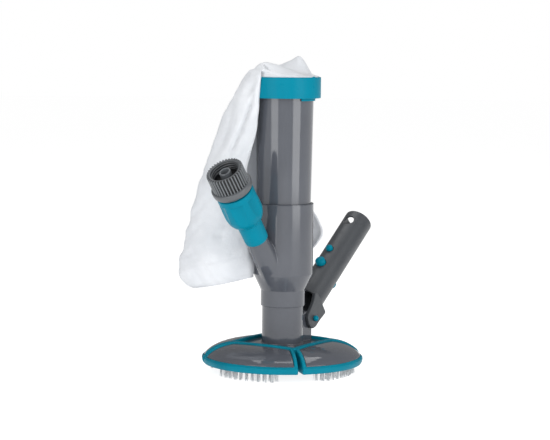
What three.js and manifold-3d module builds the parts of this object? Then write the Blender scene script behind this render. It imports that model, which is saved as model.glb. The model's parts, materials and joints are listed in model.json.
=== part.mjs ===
// A jet-powered pool vacuum standing on its round brush head: brush head, neck, wye body with an inclined
// hose inlet, riser tube, filter bag on a slip-on collar, and a folding pole handle with a spring clip.
// Millimetres, +Z up. The neck's axis is Z and the bristle tips stand on z = 0. The hose inlet leans to -Y
// and the pole handle folds out to +Y.

import * as THREE from 'three';
import { mergeVertices } from 'three/addons/utils/BufferGeometryUtils.js';
import Module from 'manifold-3d';

const wasm = await Module();
wasm.setup();

const DEG = Math.PI / 180;
const GAP = 0.3; // clearance kept between pieces that touch

// ---------------------------------------------------------------- driving dimensions

const BIG = 40; // sides on tubes of 25 mm radius and more
const MID = 24; // sides on tubes of 10 to 25 mm radius
const SMALL = 12; // sides on pins, screws and jets

// Brush head
const headTurn = 3 * DEG; // the square plate sits turned this far on the neck
const headRadius = 83;
const rimBottom = 9.4;
const rimWidestZ = 14.2;
const petalEdgeRadius = 80.2;
const petalEdgeZ = 17.8;
const plateTopZ = 29.6;
const domeTopZ = 31.2;
const domeBaseZ = 16.3; // the dome's curve would meet this height at its own full radius
const domeBaseRadius = 81;
const domeFlatRadius = 30; // the dome starts to fall outside this radius
const domePower = 3;
const domeRound = 0.75;
const petalSkin = 2.4;
const beadRise = 1.5; // how far the rubber stands above the panels
const squareHalf = 38; // centre line of the square bead
const squareBead = 5;
const slitStart = 55.5;
const slitHalfIn = 1.25;
const slitHalfOut = 2.5;
const slitBead = 3.5;
const padInnerRadius = 60;
const padTopZ = 14.8;
const stripInner = 64;
const stripOuter = 76;
const stripTop = 12.6;
const stripHalfAngle = 30 * DEG;
const tuftRoot = 11.2; // tufts start inside the strip
const tuftRadius = 1.6;
const tuftRows = [66.8, 73.2];
const tuftsPerRow = 11;
const tuftHalfAngle = 27 * DEG;
const screwCircle = 43.6; // distance of the petal screws from the axis
const screwHole = 1.3;
const screwPilot = 1.1;

// Neck with its plate, flange and hinge lug
const neckRadius = 21.3;
const neckBore = 18.4;
const neckTop = 84;
const flangeTop = 26.8;
const flangeBottom = 24.2;
const flangeHalf = 46;
const flangeRadius = 53;
const lugHalf = 13.2;
const lugBack = 34.4; // just inside the square bead
const earRadius = 7.6; // round ear of the lug about the pivot

// Handle pivot and the handle's own frame
const pivotY = 33.2;
const pivotZ = 52.2;
const pivotRadius = 2.2;
const pinHeadRadius = 3;
const pinHeadRise = 4.4;
const handleTilt = 51.1 * DEG; // from upright towards +Y
const handleOffset = 3.8; // tube axis above the pivot
const handleRadius = 15.1;
const handleBore = 12.8;
const handleStart = 21; // the tube's upper wall begins here, measured along it from the pivot
const handleWebStart = 8; // its lower wall runs on to here between the cheeks
const handleEnd = 142.9;
const cheekInner = 13.5;
const cheekOuter = 17.5;
const hangHoleRadius = 5.9;
const hangHoleFromEnd = 14.5;
const bigButtonAt = 61.9;
const bigButtonRadius = 5.3;
const bigButtonRise = 6.2;
const smallButtonAt = 82.9;
const smallButtonRadius = 3.7;
const smallButtonRise = 4.4;
const armHalfWidth = 4.6;
const armTop = 10.9; // distance of the clip arm's outer face from the tube axis
const armThick = 2;

// Wye body
const collarRadius = 22.8;
const collarBottom = 68;
const coneBottom = 84.5;
const coneTop = 101;
const barrelRadius = 30.6;
const barrelTop = 174;
const socketBottom = 150; // the riser stands on this shoulder
const throatRadius = 18.4;
const bodyBore = 25.8;
const branchTilt = 37.5 * DEG; // from upright towards -Y
const branchFoot = 79; // height where the branch's axis meets the neck's axis
const branchRadius = 11;
const branchRootRadius = 12.5;
const branchRootEnd = 50; // the branch tapers between these two places
const branchTaperEnd = 74;
const branchBore = 8.8;
const branchEnd = 97;

// Hose inlet, measured along the branch
const sleeveStart = 77;
const sleeveEnd = 100.6;
const couplerEnd = 142;
const couplerRadius = 19.6;
const couplerNeckRadius = 16; // the step under the nut
const gripCutRadius = 26;
const gripCutDepth = 1.3;
const gripCuts = 6;
const bulkhead = 129.7; // the wall that closes the coupler's bore and holds the spigot
const nutStart = 142.4;
const nutFlangeEnd = 150.2;
const nutEnd = 168;
const nutFlangeRadius = 20.9;
const nutRibRoot = 17;
const nutRibTip = 18.9;
const nutRibs = 36;
const nutBore = 14.8;
const nutThread = 13.8;
const nutFloor = 152;
const nutPitch = 4;
const spigotRadius = 6;
const spigotBore = 4.4;
const spigotFlange = 9.6;
const spigotEnd = 166.6;

// Riser, collar and bag
const riserFoot = 27.8;
const riserHead = 29.7;
const riserTop = 296.6;
const ringRadius = 36.7;
const ringBottom = 281;
const ringTop = 302.4;
const sleeveInner = 30.1;
const sleeveOuter = 32.1;
const tongueBottom = 278.4;
const bagTurn = 35 * DEG; // the bag hangs across a line turned this far from X

// ---------------------------------------------------------------- materials

const plastic = (color, roughness) => new THREE.MeshStandardMaterial({ color, roughness, metalness: 0 });
const grey = () => plastic(0x62656c, 0.3);
const darkGrey = () => plastic(0x55585c, 0.45);
const teal = () => plastic(0x118ba2, 0.4);
const white = () => plastic(0xf2f4f5, 0.85);
const black = () => plastic(0x1c1d1f, 0.7);
const steel = () => new THREE.MeshStandardMaterial({ color: 0xb8bcc0, roughness: 0.3, metalness: 1 });

// ---------------------------------------------------------------- solids

// A closed geometry with shared corners, no empty triangles, and its faces pointing out.
function tidy(geometry) {
  const bare = geometry.clone();
  for (const name of Object.keys(bare.attributes)) {
    if (name !== 'position') bare.deleteAttribute(name);
  }
  const merged = mergeVertices(bare, 1e-3);
  const index = merged.index.array;
  const p = merged.attributes.position.array;
  const kept = [];
  let volume = 0;
  for (let i = 0; i < index.length; i += 3) {
    const [a, b, c] = [index[i], index[i + 1], index[i + 2]];
    if (a === b || b === c || c === a) continue;
    kept.push(a, b, c);
    const [A, B, C] = [a, b, c].map((k) => new THREE.Vector3(p[3 * k], p[3 * k + 1], p[3 * k + 2]));
    volume += A.dot(B.cross(C));
  }
  if (volume < 0) {
    for (let i = 0; i < kept.length; i += 3) [kept[i], kept[i + 1]] = [kept[i + 1], kept[i]];
  }
  const clean = new THREE.BufferGeometry();
  clean.setAttribute('position', merged.attributes.position);
  clean.setIndex(kept);
  return clean;
}

function toManifold(geometry) {
  const closed = tidy(geometry);
  return new wasm.Manifold(new wasm.Mesh({
    numProp: 3,
    vertProperties: new Float32Array(closed.attributes.position.array),
    triVerts: new Uint32Array(closed.index.array),
  }));
}

function fromManifold(manifold) {
  const mesh = manifold.getMesh();
  const geometry = new THREE.BufferGeometry();
  geometry.setAttribute('position', new THREE.BufferAttribute(new Float32Array(mesh.vertProperties), 3));
  geometry.setIndex(new THREE.BufferAttribute(new Uint32Array(mesh.triVerts), 1));
  geometry.computeVertexNormals();
  return geometry;
}

function join(first, ...others) {
  return fromManifold(others.reduce((sum, g) => sum.add(toManifold(g)), toManifold(first)));
}

function cut(first, ...tools) {
  return fromManifold(tools.reduce((rest, g) => rest.subtract(toManifold(g)), toManifold(first)));
}

function common(first, second) {
  return fromManifold(toManifold(first).intersect(toManifold(second)));
}

// A profile of [radius, height] pairs turned about Z. It closes on itself.
function turned(profile, sides) {
  const points = [...profile, profile[0]].map(([r, z]) => new THREE.Vector2(r, z));
  return tidy(new THREE.LatheGeometry(points, sides).rotateX(Math.PI / 2));
}

function rod(radius, z0, z1, sides) {
  return turned([[0, z0], [radius, z0], [radius, z1], [0, z1]], sides);
}

function pipe(outer, inner, z0, z1, sides) {
  return turned([[inner, z0], [outer, z0], [outer, z1], [inner, z1]], sides);
}

// A flat outline of [x, y] pairs raised from z0 to z1.
function prism(outline, z0, z1) {
  const shape = new THREE.Shape(outline.map(([x, y]) => new THREE.Vector2(x, y)));
  const solid = new THREE.ExtrudeGeometry(shape, { depth: z1 - z0, bevelEnabled: false });
  return tidy(solid.translate(0, 0, z0));
}

function block(x0, x1, y0, y1, z0, z1) {
  return prism([[x0, y0], [x1, y0], [x1, y1], [x0, y1]], z0, z1);
}

function arc(cx, cy, radius, from, to, steps) {
  const points = [];
  for (let i = 0; i <= steps; i++) {
    const a = from + ((to - from) * i) / steps;
    points.push([cx + radius * Math.cos(a), cy + radius * Math.sin(a)]);
  }
  return points;
}

// A square of the given half side with rounded corners.
function roundedSquare(half, radius) {
  const c = half - radius;
  return [[c, c, 0], [-c, c, 1], [-c, -c, 2], [c, -c, 3]]
    .flatMap(([x, y, k]) => arc(x, y, radius, k * 90 * DEG, (k + 1) * 90 * DEG, 4));
}

function turn(geometry, angle) {
  return geometry.clone().rotateZ(angle);
}

// A solid skinned over rings of points; every ring has the same number of points. Its two flat ends are
// filled by strips that join the ring's first half to its second.
function loft(rings) {
  const n = rings[0].length;
  const index = [];
  for (let k = 0; k + 1 < rings.length; k++) {
    for (let i = 0; i < n; i++) {
      const [a, b] = [k * n + i, k * n + ((i + 1) % n)];
      index.push(a, b, b + n, a, b + n, a + n);
    }
  }
  for (const [start, flip] of [[0, true], [(rings.length - 1) * n, false]]) {
    for (let i = 0; 2 * i + 1 < n; i++) {
      const [a, b, c, d] = [i, i + 1, n - 2 - i, n - 1 - i].map((k) => start + k);
      index.push(...(flip ? [a, c, b, a, d, c] : [a, b, c, a, c, d]));
    }
  }
  const geometry = new THREE.BufferGeometry();
  geometry.setAttribute('position', new THREE.Float32BufferAttribute(rings.flat(2), 3));
  geometry.setIndex(index);
  return tidy(geometry);
}

// ---------------------------------------------------------------- assembly

const group = new THREE.Group();

// The hose branch's own frame: its Z runs out along the branch from the neck's axis.
const branch = new THREE.Group();
branch.position.set(0, 0, branchFoot);
branch.rotation.x = branchTilt;
group.add(branch);

// The handle's own frame: its Z runs along the tube from the pivot, its Y points down and away from the neck.
const handle = new THREE.Group();
handle.position.set(0, pivotY, pivotZ);
handle.rotation.x = -handleTilt;
group.add(handle);

function add(name, geometry, material, parent = group) {
  const mesh = new THREE.Mesh(geometry, material);
  mesh.name = name;
  parent.add(mesh);
}

// The branch's frame as a matrix, for pieces of the wye body that are joined in the main frame.
const branchMatrix = new THREE.Matrix4()
  .makeTranslation(0, 0, branchFoot)
  .multiply(new THREE.Matrix4().makeRotationX(branchTilt));

// ---------------------------------------------------------------- brush head

function domeZ(radius) {
  const t = Math.max(0, (radius - domeFlatRadius) / (domeBaseRadius - domeFlatRadius));
  return domeBaseZ + (domeTopZ - domeBaseZ) * (1 - t ** domePower) ** domeRound;
}

const domeRadii = [0, 38, 46, 54, 60, 65, 69, 72.5, 75.5, 78];

// Half-width of the slit at a distance from the centre.
function slitHalf(radius) {
  const t = (radius - slitStart) / (headRadius - slitStart);
  return slitHalfIn + (slitHalfOut - slitHalfIn) * t;
}

// The slit's outline along +X, grown by a margin on each side.
function slitOutline(margin, from, to) {
  const a = slitHalf(from) + margin;
  const b = slitHalf(to) + margin;
  return [[from, -a], [to, -b], [to, b], [from, a]];
}

const diagonals = [45, 135, 225, 315].map((angle) => angle * DEG);

function headFrame() {
  const cap = turned([
    [0, rimBottom],
    [headRadius - 1.6, rimBottom],
    [headRadius - 0.4, rimWidestZ - 2.2],
    [headRadius, rimWidestZ],
    [headRadius - 0.4, rimWidestZ + 1.2],
    [headRadius - 1.5, rimWidestZ + 2.4],
    [petalEdgeRadius, petalEdgeZ + 0.5],
    ...domeRadii.slice(1).reverse().map((r) => [r, domeZ(r) + beadRise]),
    [0, domeZ(0) + beadRise],
  ], BIG);
  const rim = pipe(headRadius + 1, petalEdgeRadius + GAP, rimBottom - 1, rimWidestZ + 8, BIG);
  const square = cut(
    prism(roundedSquare(squareHalf + squareBead / 2, 4), flangeTop + GAP, plateTopZ + 8),
    prism(roundedSquare(squareHalf - squareBead / 2, 2), flangeTop, plateTopZ + 9),
  );
  const walls = diagonals.map((a) => turn(prism(slitOutline(slitBead, 52.5, headRadius - 1), 0, 60), a));
  const slits = diagonals.map((a) => turn(prism(slitOutline(0, slitStart, headRadius + 6), 0, 60), a));
  const whole = common(join(rim, square, ...walls), cap);
  const undercut = rod(flangeRadius + GAP, rimBottom - 1, flangeTop + GAP, BIG);
  return cut(whole, undercut, ...slits);
}

// One grey panel of the dome, facing +X: skin, outer wall and the pad that holds the brush strip.
function petal() {
  const skinRadii = domeRadii.slice(1).filter((r) => r < 78);
  const section = turned([
    ...skinRadii.map((r) => [r, domeZ(r)]),
    [78, domeZ(78)],
    [petalEdgeRadius, petalEdgeZ],
    [petalEdgeRadius, rimBottom + 0.6],
    [padInnerRadius, rimBottom + 0.6],
    [padInnerRadius, padTopZ],
    [petalEdgeRadius - petalSkin, padTopZ],
    [78, domeZ(78) - petalSkin],
    ...skinRadii.slice().reverse().map((r) => [r, domeZ(r) - petalSkin]),
  ], BIG);
  const inner = squareHalf + squareBead / 2 + GAP;
  const reach = 96;
  const edge = (radius) => {
    const off = slitHalf(radius) + slitBead + GAP;
    return [(radius + off) * Math.SQRT1_2, (radius - off) * Math.SQRT1_2];
  };
  const foot = inner / Math.SQRT1_2 - slitHalf(52) - slitBead - GAP;
  const [fx, fy] = edge(foot);
  const [ex, ey] = edge(reach);
  const wedge = prism([[fx, -fy], [ex, -ey], [reach, -ey], [reach, ey], [ex, ey], [fx, fy]], 0, 60);
  const groove = turned([
    [stripInner - GAP, 0],
    [stripOuter + GAP, 0],
    [stripOuter + GAP, stripTop + GAP],
    [stripInner - GAP, stripTop + GAP],
  ], BIG);
  const margin = stripHalfAngle + 0.01;
  const channel = common(groove, prism([[0, 0], ...arc(0, 0, 120, -margin, margin, 8)], -1, 40));
  const pilot = rod(screwPilot, 20, 29, SMALL).translate(screwCircle, 0, 0);
  const boss = common(rod(3.2, flangeTop + GAP, 30, SMALL).translate(screwCircle, 0, 0), turned([
    [0, 20],
    [60, 20],
    [60, domeZ(50) - 0.6],
    [0, domeZ(50) - 0.6],
  ], BIG));
  return cut(common(join(section, boss), wedge), channel, pilot);
}

// One brush strip, facing +X: a curved bar with its bristle tufts.
function brushStrip() {
  const bar = common(
    pipe(stripOuter, stripInner, rimBottom + 0.4, stripTop, BIG),
    prism([[0, 0], ...arc(0, 0, 120, -stripHalfAngle, stripHalfAngle, 8)], -1, 40),
  );
  const tufts = [];
  tuftRows.forEach((radius, row) => {
    for (let i = 0; i < tuftsPerRow - row; i++) {
      const angle = tuftHalfAngle * ((2 * i + row) / (tuftsPerRow - 1) - 1);
      const tuft = new THREE.CylinderGeometry(tuftRadius * 0.8, tuftRadius, tuftRoot, 4)
        .rotateX(-Math.PI / 2)
        .translate(0, 0, tuftRoot / 2);
      tufts.push(tidy(tuft).translate(radius * Math.cos(angle), radius * Math.sin(angle), 0));
    }
  });
  return join(bar, ...tufts);
}

// A self-tapping screw, head down, that holds one petal to the neck's flange.
function petalScrew() {
  const [shank, head, drive] = [1, 3, 1.1];
  const headTop = flangeBottom - GAP;
  const screw = turned([[0, headTop - 2], [head, headTop - 2], [head, headTop], [shank, headTop], [shank, 28],
    [0, 28.6]], SMALL);
  return cut(screw, block(-drive, drive, -0.4, 0.4, headTop - 3, headTop - 1),
    block(-0.4, 0.4, -drive, drive, headTop - 3, headTop - 1)).translate(screwCircle, 0, 0);
}

add('head_frame', turn(headFrame(), headTurn), teal());
const sides = { right: 0, back: 90, left: 180, front: 270 };
for (const [side, degrees] of Object.entries(sides)) {
  const angle = degrees * DEG + headTurn;
  add(`petal_${side}`, turn(petal(), angle), grey());
  add(`brush_strip_${side}`, turn(brushStrip(), angle), white());
  add(`petal_screw_${side}`, turn(petalScrew(), angle), steel());
}

// ---------------------------------------------------------------- neck

function neck() {
  const plate = prism(roundedSquare(squareHalf - squareBead / 2 - GAP, 2), flangeBottom, plateTopZ);
  const flange = common(
    prism(roundedSquare(flangeHalf, 6), flangeBottom, flangeTop),
    rod(flangeRadius - GAP, 0, 60, BIG),
  );
  const tube = rod(neckRadius, flangeBottom, neckTop, MID);
  const lugTop = pivotZ + earRadius;
  const side = [
    [12, plateTopZ - 1],
    [lugBack, plateTopZ - 1],
    [lugBack, pivotZ - earRadius - 2],
    ...arc(pivotY, pivotZ, earRadius, -55 * DEG, 90 * DEG, 8),
    [neckRadius + 4, lugTop],
    [neckRadius - 1, lugTop - 3],
    [12, lugTop - 3],
  ];
  const lug = prism(side, -lugHalf, lugHalf).rotateX(Math.PI / 2).rotateZ(Math.PI / 2);
  const pivotBore = rod(pivotRadius + GAP, -20, 20, SMALL).rotateY(Math.PI / 2).translate(0, pivotY, pivotZ);
  const bore = rod(neckBore, 0, neckTop + 5, MID);
  const hole = rod(screwHole, 20, 30, SMALL).translate(screwCircle, 0, 0);
  const holes = Object.values(sides).map((angle) => turn(hole, angle * DEG));
  const base = turn(cut(join(plate, flange), ...holes), headTurn);
  return cut(join(base, tube, lug), bore, pivotBore);
}

add('neck', neck(), grey());

// ---------------------------------------------------------------- wye body

function wyeBody() {
  const shell = turned([[0, collarBottom], [collarRadius, collarBottom], [collarRadius, coneBottom],
    [barrelRadius - 0.6, coneTop - 0.8], [barrelRadius, coneTop + 0.8], [barrelRadius, barrelTop - 0.8],
    [barrelRadius - 0.7, barrelTop], [0, barrelTop]], BIG);
  const arm = turned([[0, 4], [branchRootRadius, 4], [branchRootRadius, branchRootEnd],
    [branchRadius, branchTaperEnd], [branchRadius, branchEnd], [0, branchEnd]], MID)
    .applyMatrix4(branchMatrix);
  const bore = turned([
    [0, collarBottom - 1],
    [neckRadius + GAP, collarBottom - 1],
    [neckRadius + GAP, neckTop + GAP],
    [throatRadius, neckTop + GAP],
    [throatRadius, neckTop + 3],
    [bodyBore, coneTop + 2],
    [bodyBore, socketBottom],
    [riserFoot + GAP, socketBottom],
    [riserFoot + GAP, barrelTop + 1],
    [0, barrelTop + 1],
  ], BIG);
  const armBore = rod(branchBore, 8, branchEnd + 2, MID).applyMatrix4(branchMatrix);
  return cut(join(shell, arm), bore, armBore);
}

add('wye_body', wyeBody(), grey());

// The jet: a bushing in the branch's bore whose narrow tube turns up the middle of the body.
function jetNozzle() {
  const along = (s) => new THREE.Vector3(0, 0, s).applyMatrix4(branchMatrix);
  const up = (z) => new THREE.Vector3(0, 0, z);
  const path = new THREE.CurvePath();
  path.add(new THREE.LineCurve3(along(52), along(26)));
  path.add(new THREE.QuadraticBezierCurve3(along(26), along(0).lerp(up(98), 0.55), up(112)));
  path.add(new THREE.LineCurve3(up(112), up(118)));
  const follow = (radius) => {
    const round = new THREE.Shape(arc(0, 0, radius, 0, 2 * Math.PI, 8).slice(0, -1)
      .map(([x, y]) => new THREE.Vector2(x, y)));
    const options = { steps: 7, bevelEnabled: false, extrudePath: path };
    return tidy(new THREE.ExtrudeGeometry(round, options));
  };
  const bushing = rod(branchBore - GAP, 40, 50, SMALL).applyMatrix4(branchMatrix);
  const mouth = rod(2.4, 49, 56, 12).applyMatrix4(branchMatrix);
  const tip = rod(2.4, 114, 120, 12);
  return cut(join(follow(4), bushing), follow(2.4), mouth, tip);
}

add('jet_nozzle', jetNozzle(), darkGrey());

// ---------------------------------------------------------------- hose inlet

add('coupler_sleeve', turned([
  [branchRadius + GAP, sleeveStart],
  [branchRadius + 0.9, sleeveStart],
  [branchRadius + 1.2, sleeveStart + 0.8],
  [branchRadius + 1.6, sleeveEnd - 0.4],
  [branchRadius + 1.6, sleeveEnd],
  [branchRadius + GAP, sleeveEnd],
], MID), teal(), branch);

function couplerBody() {
  const shell = turned([
    [branchBore, sleeveEnd + GAP],
    [13.2, sleeveEnd + GAP],
    [16.2, sleeveEnd + 3.2],
    [18.2, sleeveEnd + 7.2],
    [couplerRadius - 0.1, sleeveEnd + 12.5],
    [couplerRadius, sleeveEnd + 21],
    [couplerRadius - 0.4, couplerEnd - 6],
    [couplerRadius - 0.7, couplerEnd - 1.8],
    [couplerRadius - 1.3, couplerEnd - 1],
    [couplerNeckRadius, couplerEnd - 1],
    [couplerNeckRadius, couplerEnd],
    [spigotRadius + GAP, couplerEnd],
    [spigotRadius + GAP, bulkhead],
    [branchBore, bulkhead],
  ], BIG);
  // grip panels that run out towards the nut
  const cutCentre = couplerRadius + gripCutRadius - gripCutDepth;
  const panels = Array.from({ length: gripCuts }, (_, k) => rod(gripCutRadius, -22, 22, 60)
    .rotateX(-3.5 * DEG)
    .translate(0, -cutCentre, sleeveEnd + 13)
    .rotateZ(((k + 0.5) * 360 * DEG) / gripCuts));
  return cut(shell, ...panels);
}

add('coupler_body', couplerBody(), teal(), branch);

add('inlet_spigot', turned([
  [spigotBore, bulkhead + GAP],
  [spigotRadius, bulkhead + GAP],
  [spigotRadius, nutFloor + 0.4],
  [spigotFlange, nutFloor + 0.4],
  [spigotFlange, nutFloor + 2.2],
  [spigotRadius, nutFloor + 2.2],
  [spigotRadius, spigotEnd - 0.6],
  [spigotRadius - 0.6, spigotEnd],
  [spigotBore, spigotEnd],
], MID), darkGrey(), branch);

function hoseNut() {
  const ribbed = [];
  for (let k = 0; k < nutRibs; k++) {
    const tooth = [[0, nutRibRoot], [0.3, nutRibRoot], [0.48, nutRibTip], [0.82, nutRibTip]];
    for (const [share, radius] of tooth) {
      const a = ((k + share) / nutRibs) * 2 * Math.PI;
      ribbed.push([radius * Math.cos(a), radius * Math.sin(a)]);
    }
  }
  const grip = prism(ribbed, nutFlangeEnd - 1, nutEnd);
  const flange = turned([[0, nutStart], [nutFlangeRadius - 1.6, nutStart],
    [nutFlangeRadius - 0.3, nutStart + 2], [nutFlangeRadius, nutFlangeEnd - 2],
    [nutFlangeRadius - 0.8, nutFlangeEnd - 0.4], [nutRibTip + 0.4, nutFlangeEnd], [0, nutFlangeEnd]], BIG);
  // two thread rings, nutPitch apart
  const rings = [nutFloor + 7, nutFloor + 7 + nutPitch].flatMap((at) => [[nutBore, at], [nutThread, at + 1],
    [nutBore, at + 2]]);
  const socket = turned([[0, nutFloor], [nutBore, nutFloor], ...rings, [nutBore, nutEnd - 0.6],
    [nutBore + 0.7, nutEnd + 1], [0, nutEnd + 1]], MID);
  const hole = rod(spigotRadius + GAP, nutStart - 1, nutFloor + 1, MID);
  return cut(join(grip, flange), socket, hole);
}

add('hose_nut', hoseNut(), darkGrey(), branch);
const washer = pipe(nutBore - 1, spigotRadius + GAP, nutFloor + 2.5, nutFloor + 4.9, MID);
add('hose_washer', washer, black(), branch);

// ---------------------------------------------------------------- riser and bag collar

add('riser_tube', turned([
  [riserFoot - 2, socketBottom + GAP],
  [riserFoot, socketBottom + GAP],
  [riserFoot, barrelTop],
  [riserHead, riserTop],
  [riserHead - 2, riserTop],
], BIG), grey());

function bagCollar() {
  const band = turned([
    [ringRadius - 2.4, ringBottom],
    [ringRadius - 0.6, ringBottom],
    [ringRadius, ringBottom + 0.8],
    [ringRadius, ringTop - 1],
    [ringRadius - 0.8, ringTop],
    [ringRadius - 2.4, ringTop],
  ], BIG);
  const web = pipe(ringRadius - 1, sleeveInner, ringBottom + 3, ringBottom + 5, BIG);
  const sleeve = pipe(sleeveOuter, sleeveInner, ringBottom + 2, riserTop + 1, BIG);
  const stop = pipe(sleeveOuter, riserHead - 2.4, riserTop + GAP, riserTop + 2.4, BIG);
  const skirt = pipe(sleeveOuter - 0.2, sleeveInner, tongueBottom, ringBottom + 4, BIG);
  const tongue = prism([[0, 0], ...arc(0, 0, 60, -22 * DEG, 22 * DEG, 6)], 0, 400);
  const tongues = [0, 180].map((a) => common(skirt, turn(tongue, a * DEG)));
  return join(band, web, sleeve, stop, ...tongues);
}

add('bag_collar', bagCollar(), teal());
const retainer = pipe(sleeveOuter + 1.9, sleeveOuter + GAP, ringBottom + 8, ringTop - 2, BIG);
add('bag_retaining_ring', retainer, darkGrey());

// ---------------------------------------------------------------- bag

// The bag as it hangs: it rises from the collar, folds over to the left and falls beside and behind the
// riser. Rows, top to bottom: height, left reach, sweep of the fold from the left to the front and to the
// back in degrees, inner radius, thickness of the fold.
const bagRows = [
  [304, 50, 50, 100, 39, 8],
  [291, 51, 50, 102, 39, 9],
  [279, 58, 42, 106, 39, 9],
  [268, 63, 32, 110, 33.2, 12],
  [246, 71, 22, 116, 33.2, 13],
  [225, 78, 12, 120, 33.2, 13],
  [194, 86, 4, 122, 33.2, 12],
  [173, 91, -4, 124, 33.2, 11],
  [158, 94, -8, 127, 33.2, 9.5],
  [142, 97, -12, 131, 33.2, 8],
  [124, 102, -14, 122, 33.2, 7],
  [116, 104, -14, 84, 33.2, 9],
  [105, 106, -12, 62, 34, 11],
  [95, 104, -8, 45, 38, 12],
  [84, 92, 2, 28, 50, 14],
];

function bagRow([z, reach, front, back, inner, thick]) {
  const steps = 11;
  const lobe = 10; // how sharply the pouch narrows away from its left edge
  const lobeAngle = 8 * DEG;
  const [from, to] = [-front * DEG, back * DEG];
  const polar = (radius, angle) => [
    radius * Math.cos(Math.PI - angle + bagTurn),
    radius * Math.sin(Math.PI - angle + bagTurn),
    z,
  ];
  const ring = [];
  for (let i = 0; i <= steps; i++) ring.push(polar(inner, from + ((to - from) * i) / steps));
  for (let i = steps; i >= 0; i--) {
    const angle = from + ((to - from) * i) / steps;
    const near = Math.max(0, Math.cos(angle - lobeAngle)) ** lobe;
    ring.push(polar(inner + thick + Math.max(0, reach - inner - thick) * near, angle));
  }
  return ring;
}

// The crown over the collar's mouth, in slices across: place along the bag's line, half-width, height.
const crownRows = [
  [29, 7, 306],
  [26, 15, 313],
  [19, 24, 320.5],
  [12, 28, 321],
  [0, 31, 318],
  [-14, 30, 315.5],
  [-28, 27, 313],
  [-38, 24, 311.5],
  [-45, 20, 309],
  [-49.5, 14, 305],
];

function crownRow([across, half, top]) {
  const bottom = ringTop + 0.8;
  const points = arc(0, 0, 1, 0, Math.PI, 12).map(([c, s]) => [half * c, bottom + (top - bottom) * s]);
  return points.map(([q, z]) => [
    across * Math.cos(bagTurn) - q * Math.sin(bagTurn),
    across * Math.sin(bagTurn) + q * Math.cos(bagTurn),
    z,
  ]);
}

function meshBag() {
  const mouth = turned([[0, ringTop], [26, ringTop], [24, ringTop + 6], [14, ringTop + 9],
    [0, ringTop + 9]], MID);
  return cut(join(loft(bagRows.map(bagRow)), loft(crownRows.map(crownRow))), mouth);
}

add('mesh_bag', meshBag(), white());

// ---------------------------------------------------------------- pole handle

// Turns a flat outline of [down from the pivot, along the tube] pairs into the handle's frame.
const sideways = new THREE.Matrix4().makeBasis(
  new THREE.Vector3(0, 1, 0),
  new THREE.Vector3(0, 0, 1),
  new THREE.Vector3(1, 0, 0),
);

function handleTube() {
  const tube = rod(handleRadius, handleWebStart, handleEnd, BIG).translate(0, -handleOffset, 0);
  const bore = rod(handleBore, handleWebStart - 1, handleEnd + 1, BIG).translate(0, -handleOffset, 0);
  const tubeTop = -handleOffset - handleRadius;
  // the mouth between the cheeks: the tube's upper wall stops short and its lower wall runs on as a web
  const mouth = prism([[tubeTop - 5, handleWebStart - 1], [tubeTop - 5, handleStart], [-12, handleStart],
    [2, handleWebStart], [2, handleWebStart - 1]], -20, 20).applyMatrix4(sideways);
  const outline = [
    [tubeTop - 0.4, 16.6],
    [-17.2, 14.2],
    [-14.2, 8.6],
    [-12, 0],
    [-11.2, -5.2],
    [-8.4, -8.8],
    [-2.3, -11],
    [3.4, -11],
    [7, -8.2],
    [8.8, -3.4],
    [8.9, 5],
    [9.7, 12],
    [10.4, 17.4],
    [8.6, 18.9],
    [-4, 20.1],
    [-14, 20.7],
    [-17.4, 20],
    [tubeTop - 0.4, 18.2],
  ];
  const cheeks = [prism(outline, cheekInner, cheekOuter), prism(outline, -cheekOuter, -cheekInner)]
    .map((cheek) => cheek.applyMatrix4(sideways));
  const pinHoles = rod(pivotRadius + GAP, -20, 20, SMALL).rotateY(Math.PI / 2);
  const upward = (radius, at, y0, y1) => rod(radius, y0, y1, SMALL).rotateX(Math.PI / 2)
    .translate(0, -handleOffset, at);
  const hangHole = upward(hangHoleRadius, handleEnd - hangHoleFromEnd, -20, 20);
  const bigHoles = upward(bigButtonRadius + GAP, bigButtonAt, -20, 20);
  const smallHole = upward(smallButtonRadius + GAP, smallButtonAt, 0, 20);
  return cut(join(cut(tube, bore, mouth), ...cheeks), pinHoles, hangHole, bigHoles, smallHole);
}

add('handle_tube', handleTube(), darkGrey(), handle);

// A dome of the given radius and rise on a stem that starts at z0 and reaches z1.
function button(radius, z0, z1) {
  const domeRise = radius * 0.62;
  const dome = arc(0, 0, 1, 0, 90 * DEG, 5).map(([c, s]) => [radius * c, z1 - domeRise + domeRise * s]);
  return turned([[0, z0], [radius, z0], ...dome.slice(0, -1), [0, z1]], SMALL);
}

// One arm of the spring clip, lying in the tube with its buttons through the tube's wall.
function clipArm(buttons) {
  const bar = block(-armHalfWidth, armHalfWidth, -armTop, -armTop + armThick, bigButtonAt - 7,
    smallButtonAt + 9);
  const studs = buttons.map(([radius, at, rise]) => button(radius, armTop - 1, handleRadius + rise)
    .rotateX(Math.PI / 2)
    .translate(0, 0, at));
  return join(bar, ...studs);
}

const bigStud = [bigButtonRadius, bigButtonAt, bigButtonRise];
const smallStud = [smallButtonRadius, smallButtonAt, smallButtonRise];
add('clip_arm_upper', clipArm([bigStud, smallStud]).translate(0, -handleOffset, 0), teal(), handle);
add('clip_arm_lower', clipArm([bigStud]).rotateZ(Math.PI).translate(0, -handleOffset, 0), teal(), handle);

// The leaf spring between the arms: two legs joined by a round bend.
function clipSpring() {
  const leg = armTop - armThick - GAP;
  const leaf = 0.8;
  const bendAt = smallButtonAt + 18;
  const outline = [
    [-leg, bigButtonAt - 5],
    ...arc(0, bendAt, leg, 180 * DEG, 0, 10),
    [leg, bigButtonAt - 5],
    [leg - leaf, bigButtonAt - 5],
    ...arc(0, bendAt, leg - leaf, 0, 180 * DEG, 10),
    [-leg + leaf, bigButtonAt - 5],
  ];
  return prism(outline, -3.5, 3.5).applyMatrix4(sideways).translate(0, -handleOffset, 0);
}

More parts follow.
